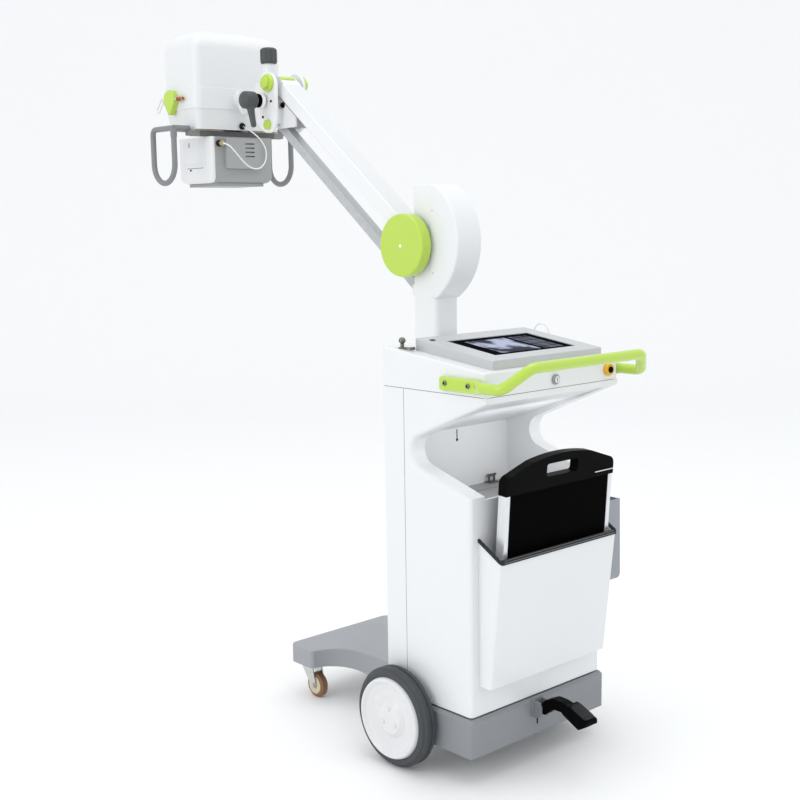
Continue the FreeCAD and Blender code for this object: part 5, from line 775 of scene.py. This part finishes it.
# Lime lip on the arm's end, the carrier's light edge strip and the bin trim's two grey lines
plate_piece("bracket_lip", (58, 13, 3.0, 1.6), on_surface("arm_tube", at(-3, 716, 1918), UP),
            (0, -0.62, 0.785), RIGHT, lime_cover, "arm_tube")
plate_piece("carrier_strip", (78, 2.6, 0.9, 0.9), at(176, -403.0, 792.5), (0, -0.998, -0.068), RIGHT,
            anodised, "carrier_cap")
for index, line_z in enumerate((612.0, 617.0)):
    plate_piece("bin_line_%d" % (index + 1), (440, 1.8, 0.6, 0.8),
                on_surface("bin_trim", at(0, -406, line_z), REAR), REAR, RIGHT, trim_line,
                "bin_trim")

# Ribbed rubber pad on the brake pedal, laid on the pedal's slope
PEDAL_X = -14.0
pad_rear = on_surface("brake_pedal", at(PEDAL_X, -512, 190), UP)
pad_front = on_surface("brake_pedal", at(PEDAL_X, -468, 190), UP)
PAD_SLOPE = pad_front - pad_rear
PAD_UP = PAD_SLOPE.cross(Vector((1, 0, 0))) * -1
plate_piece("pedal_pad", (56, 40, 3.0, 9), pad_rear.lerp(pad_front, 0.5), PAD_UP, PAD_SLOPE, trim_rubber,
            "brake_pedal")
for index in range(6):
    place = pad_rear.lerp(pad_front, -0.06 + 0.225 * index) + PAD_UP.normalized() * 0.0028
    plate_piece("pedal_rib_%d" % (index + 1), (32, 3.4, 1.6, 1.4), place, PAD_UP, RIGHT, trim_rubber,
                "brake_pedal")

# Cream rims on the casters
for side, wheel in ((-1, "caster_wheel_left"), (1, "caster_wheel_right")):
    for face, normal in ((-13.0, LEFT), (13.0, RIGHT)):
        turned_piece("%s_rim_%s" % (wheel, "outer" if face * side > 0 else "inner"),
                     [(27.5, -0.4), (27.5, 0.5), (26.4, 1.0), (19.0, 0.2), (12.6, 0.5), (11.8, 1.0),
                      (8.0, 1.0), (8.0, -0.4)],
                     at(side * 145 + face, 457, 38), normal, rim_cream, wheel)

# Dark strips in the cabinet's seams, just proud of its faces: painted shade that stands in for the shade in
# the seam gaps
SPLIT_Y = -83.0
SEAM_Z = 1031.0
CABINET_HALF = 260.0
CONSOLE_REAR_Y = -379.0
SEAM_SHADE_WIDTH, SEAM_SHADE_DEPTH, SEAM_SHADE_PROUD, SEAM_SHADE_ROUND = 1.7, 1.85, 0.15, 0.8


def build_seam_shade_strip(name, length, x, y, z, normal, along):
    plate_piece(name, (length, SEAM_SHADE_WIDTH, SEAM_SHADE_DEPTH, SEAM_SHADE_ROUND), at(x, y, z), normal, along,
                trim_line, "rear_shell")


for side, normal, hand in ((-1, LEFT, "left"), (1, RIGHT, "right")):
    seat_x = side * (CABINET_HALF + SEAM_SHADE_PROUD - SEAM_SHADE_DEPTH)
    build_seam_shade_strip("console_seam_shade_%s" % hand, 364, seat_x, CONSOLE_REAR_Y / 2, SEAM_Z, normal, FRONT)
    build_seam_shade_strip("cabinet_seam_shade_%s" % hand, 838, seat_x, SPLIT_Y, 610, normal, UP)
build_seam_shade_strip("console_seam_shade_rear", 484, 0, CONSOLE_REAR_Y - SEAM_SHADE_PROUD + SEAM_SHADE_DEPTH, SEAM_Z, REAR, RIGHT)

# Dark bottoms of the slot under the pedal and of the keyhole in the nook's wall: black plates of painted
# shade in these openings
NOOK_WALL_Y = -19.3
plate_piece("base_slot", (25, 5.4, 0.6, 1.8), at(-14, -333.3, 121), REAR, UP, black_plastic,
            "rear_base")
plate_piece("keyhole_slot", (30, 3.8, 0.5, 1.6), at(0, NOOK_WALL_Y, 868), REAR, UP, black_plastic,
            "rear_shell")
turned_piece("keyhole_head", [(4.4, -0.4), (4.4, 0.5), (3.9, 0.7), (0, 0.7)],
             at(0, NOOK_WALL_Y, 852), REAR, black_plastic, "rear_shell")


# Floor and light

def build_floor():
    """Pale floor that bends up into a wall behind the machine, square to the camera."""
    shape = bmesh.new()
    reach, bend, steps, wall = 9.0, 3.0, 16, 7.0
    rows = [(-reach, 0.0), (reach - bend, 0.0)]
    rows += [(reach - bend + bend * math.sin(turn), bend - bend * math.cos(turn))
             for turn in (math.pi / 2 * step / steps for step in range(1, steps + 1))]
    rows.append((reach, wall))
    grid = []
    for along, height in rows:
        grid.append([shape.verts.new((across, along, height - 0.0005)) for across in (-11.0, 11.0)])
    for first, second in zip(grid, grid[1:]):
        shape.faces.new((first[0], first[1], second[1], second[0]))
    shape.transform(Matrix.Rotation(-CAMERA_YAW, 4, "Z"))
    mesh = bpy.data.meshes.new("studio_floor")
    shape.to_mesh(mesh)
    shape.free()
    for polygon in mesh.polygons:
        polygon.use_smooth = True
    mesh.materials.append(moulded("studio_floor", (0.93, 0.93, 0.93), (0.91, 0.91, 0.91),
                                  0.7, 60.0, 0.02, 0.2, 0.0))
    floor = bpy.data.objects.new("studio_floor", mesh)
    bpy.context.collection.objects.link(floor)


def add_lamp(name, place, aim, size, power, shines=True):
    """Soft rectangular lamp that the camera doesn't see, and gloss only if it shines."""
    data = bpy.data.lights.new(name, "AREA")
    data.shape = "RECTANGLE"
    data.size, data.size_y = size
    data.energy = power
    lamp = bpy.data.objects.new(name, data)
    lamp.location = place
    lamp.rotation_euler = (Vector(aim) - Vector(place)).to_track_quat("-Z", "Y").to_euler()
    lamp.visible_camera = False
    lamp.visible_glossy = shines
    bpy.context.collection.objects.link(lamp)


build_floor()
world = bpy.data.worlds.new("studio_air")
world.use_nodes = True
world.node_tree.nodes["Background"].inputs["Color"].default_value = (0.96, 0.98, 1.0, 1)
world.node_tree.nodes["Background"].inputs["Strength"].default_value = 1.03
bpy.context.scene.world = world
add_lamp("overhead_box", (0.2, -0.6, 4.6), (0, -0.2, 0.8), (3.0, 3.0), 36)
add_lamp("rear_box", (1.6, -4.6, 2.4), (0, -0.6, 0.9), (2.4, 2.4), 2)
add_lamp("left_box", (-4.4, 0.4, 2.6), (0, 0.0, 1.2), (2.0, 2.6), 32)
# The nook gets little of the studio's light, so a weak strip lights it from its mouth.
add_lamp("shelf_strip", at(0, -330, 905), at(0, -60, 800), (0.34, 0.06), 0.42, False)
bpy.context.scene.view_settings.view_transform = "Standard"

bpy.context.view_layer.update()
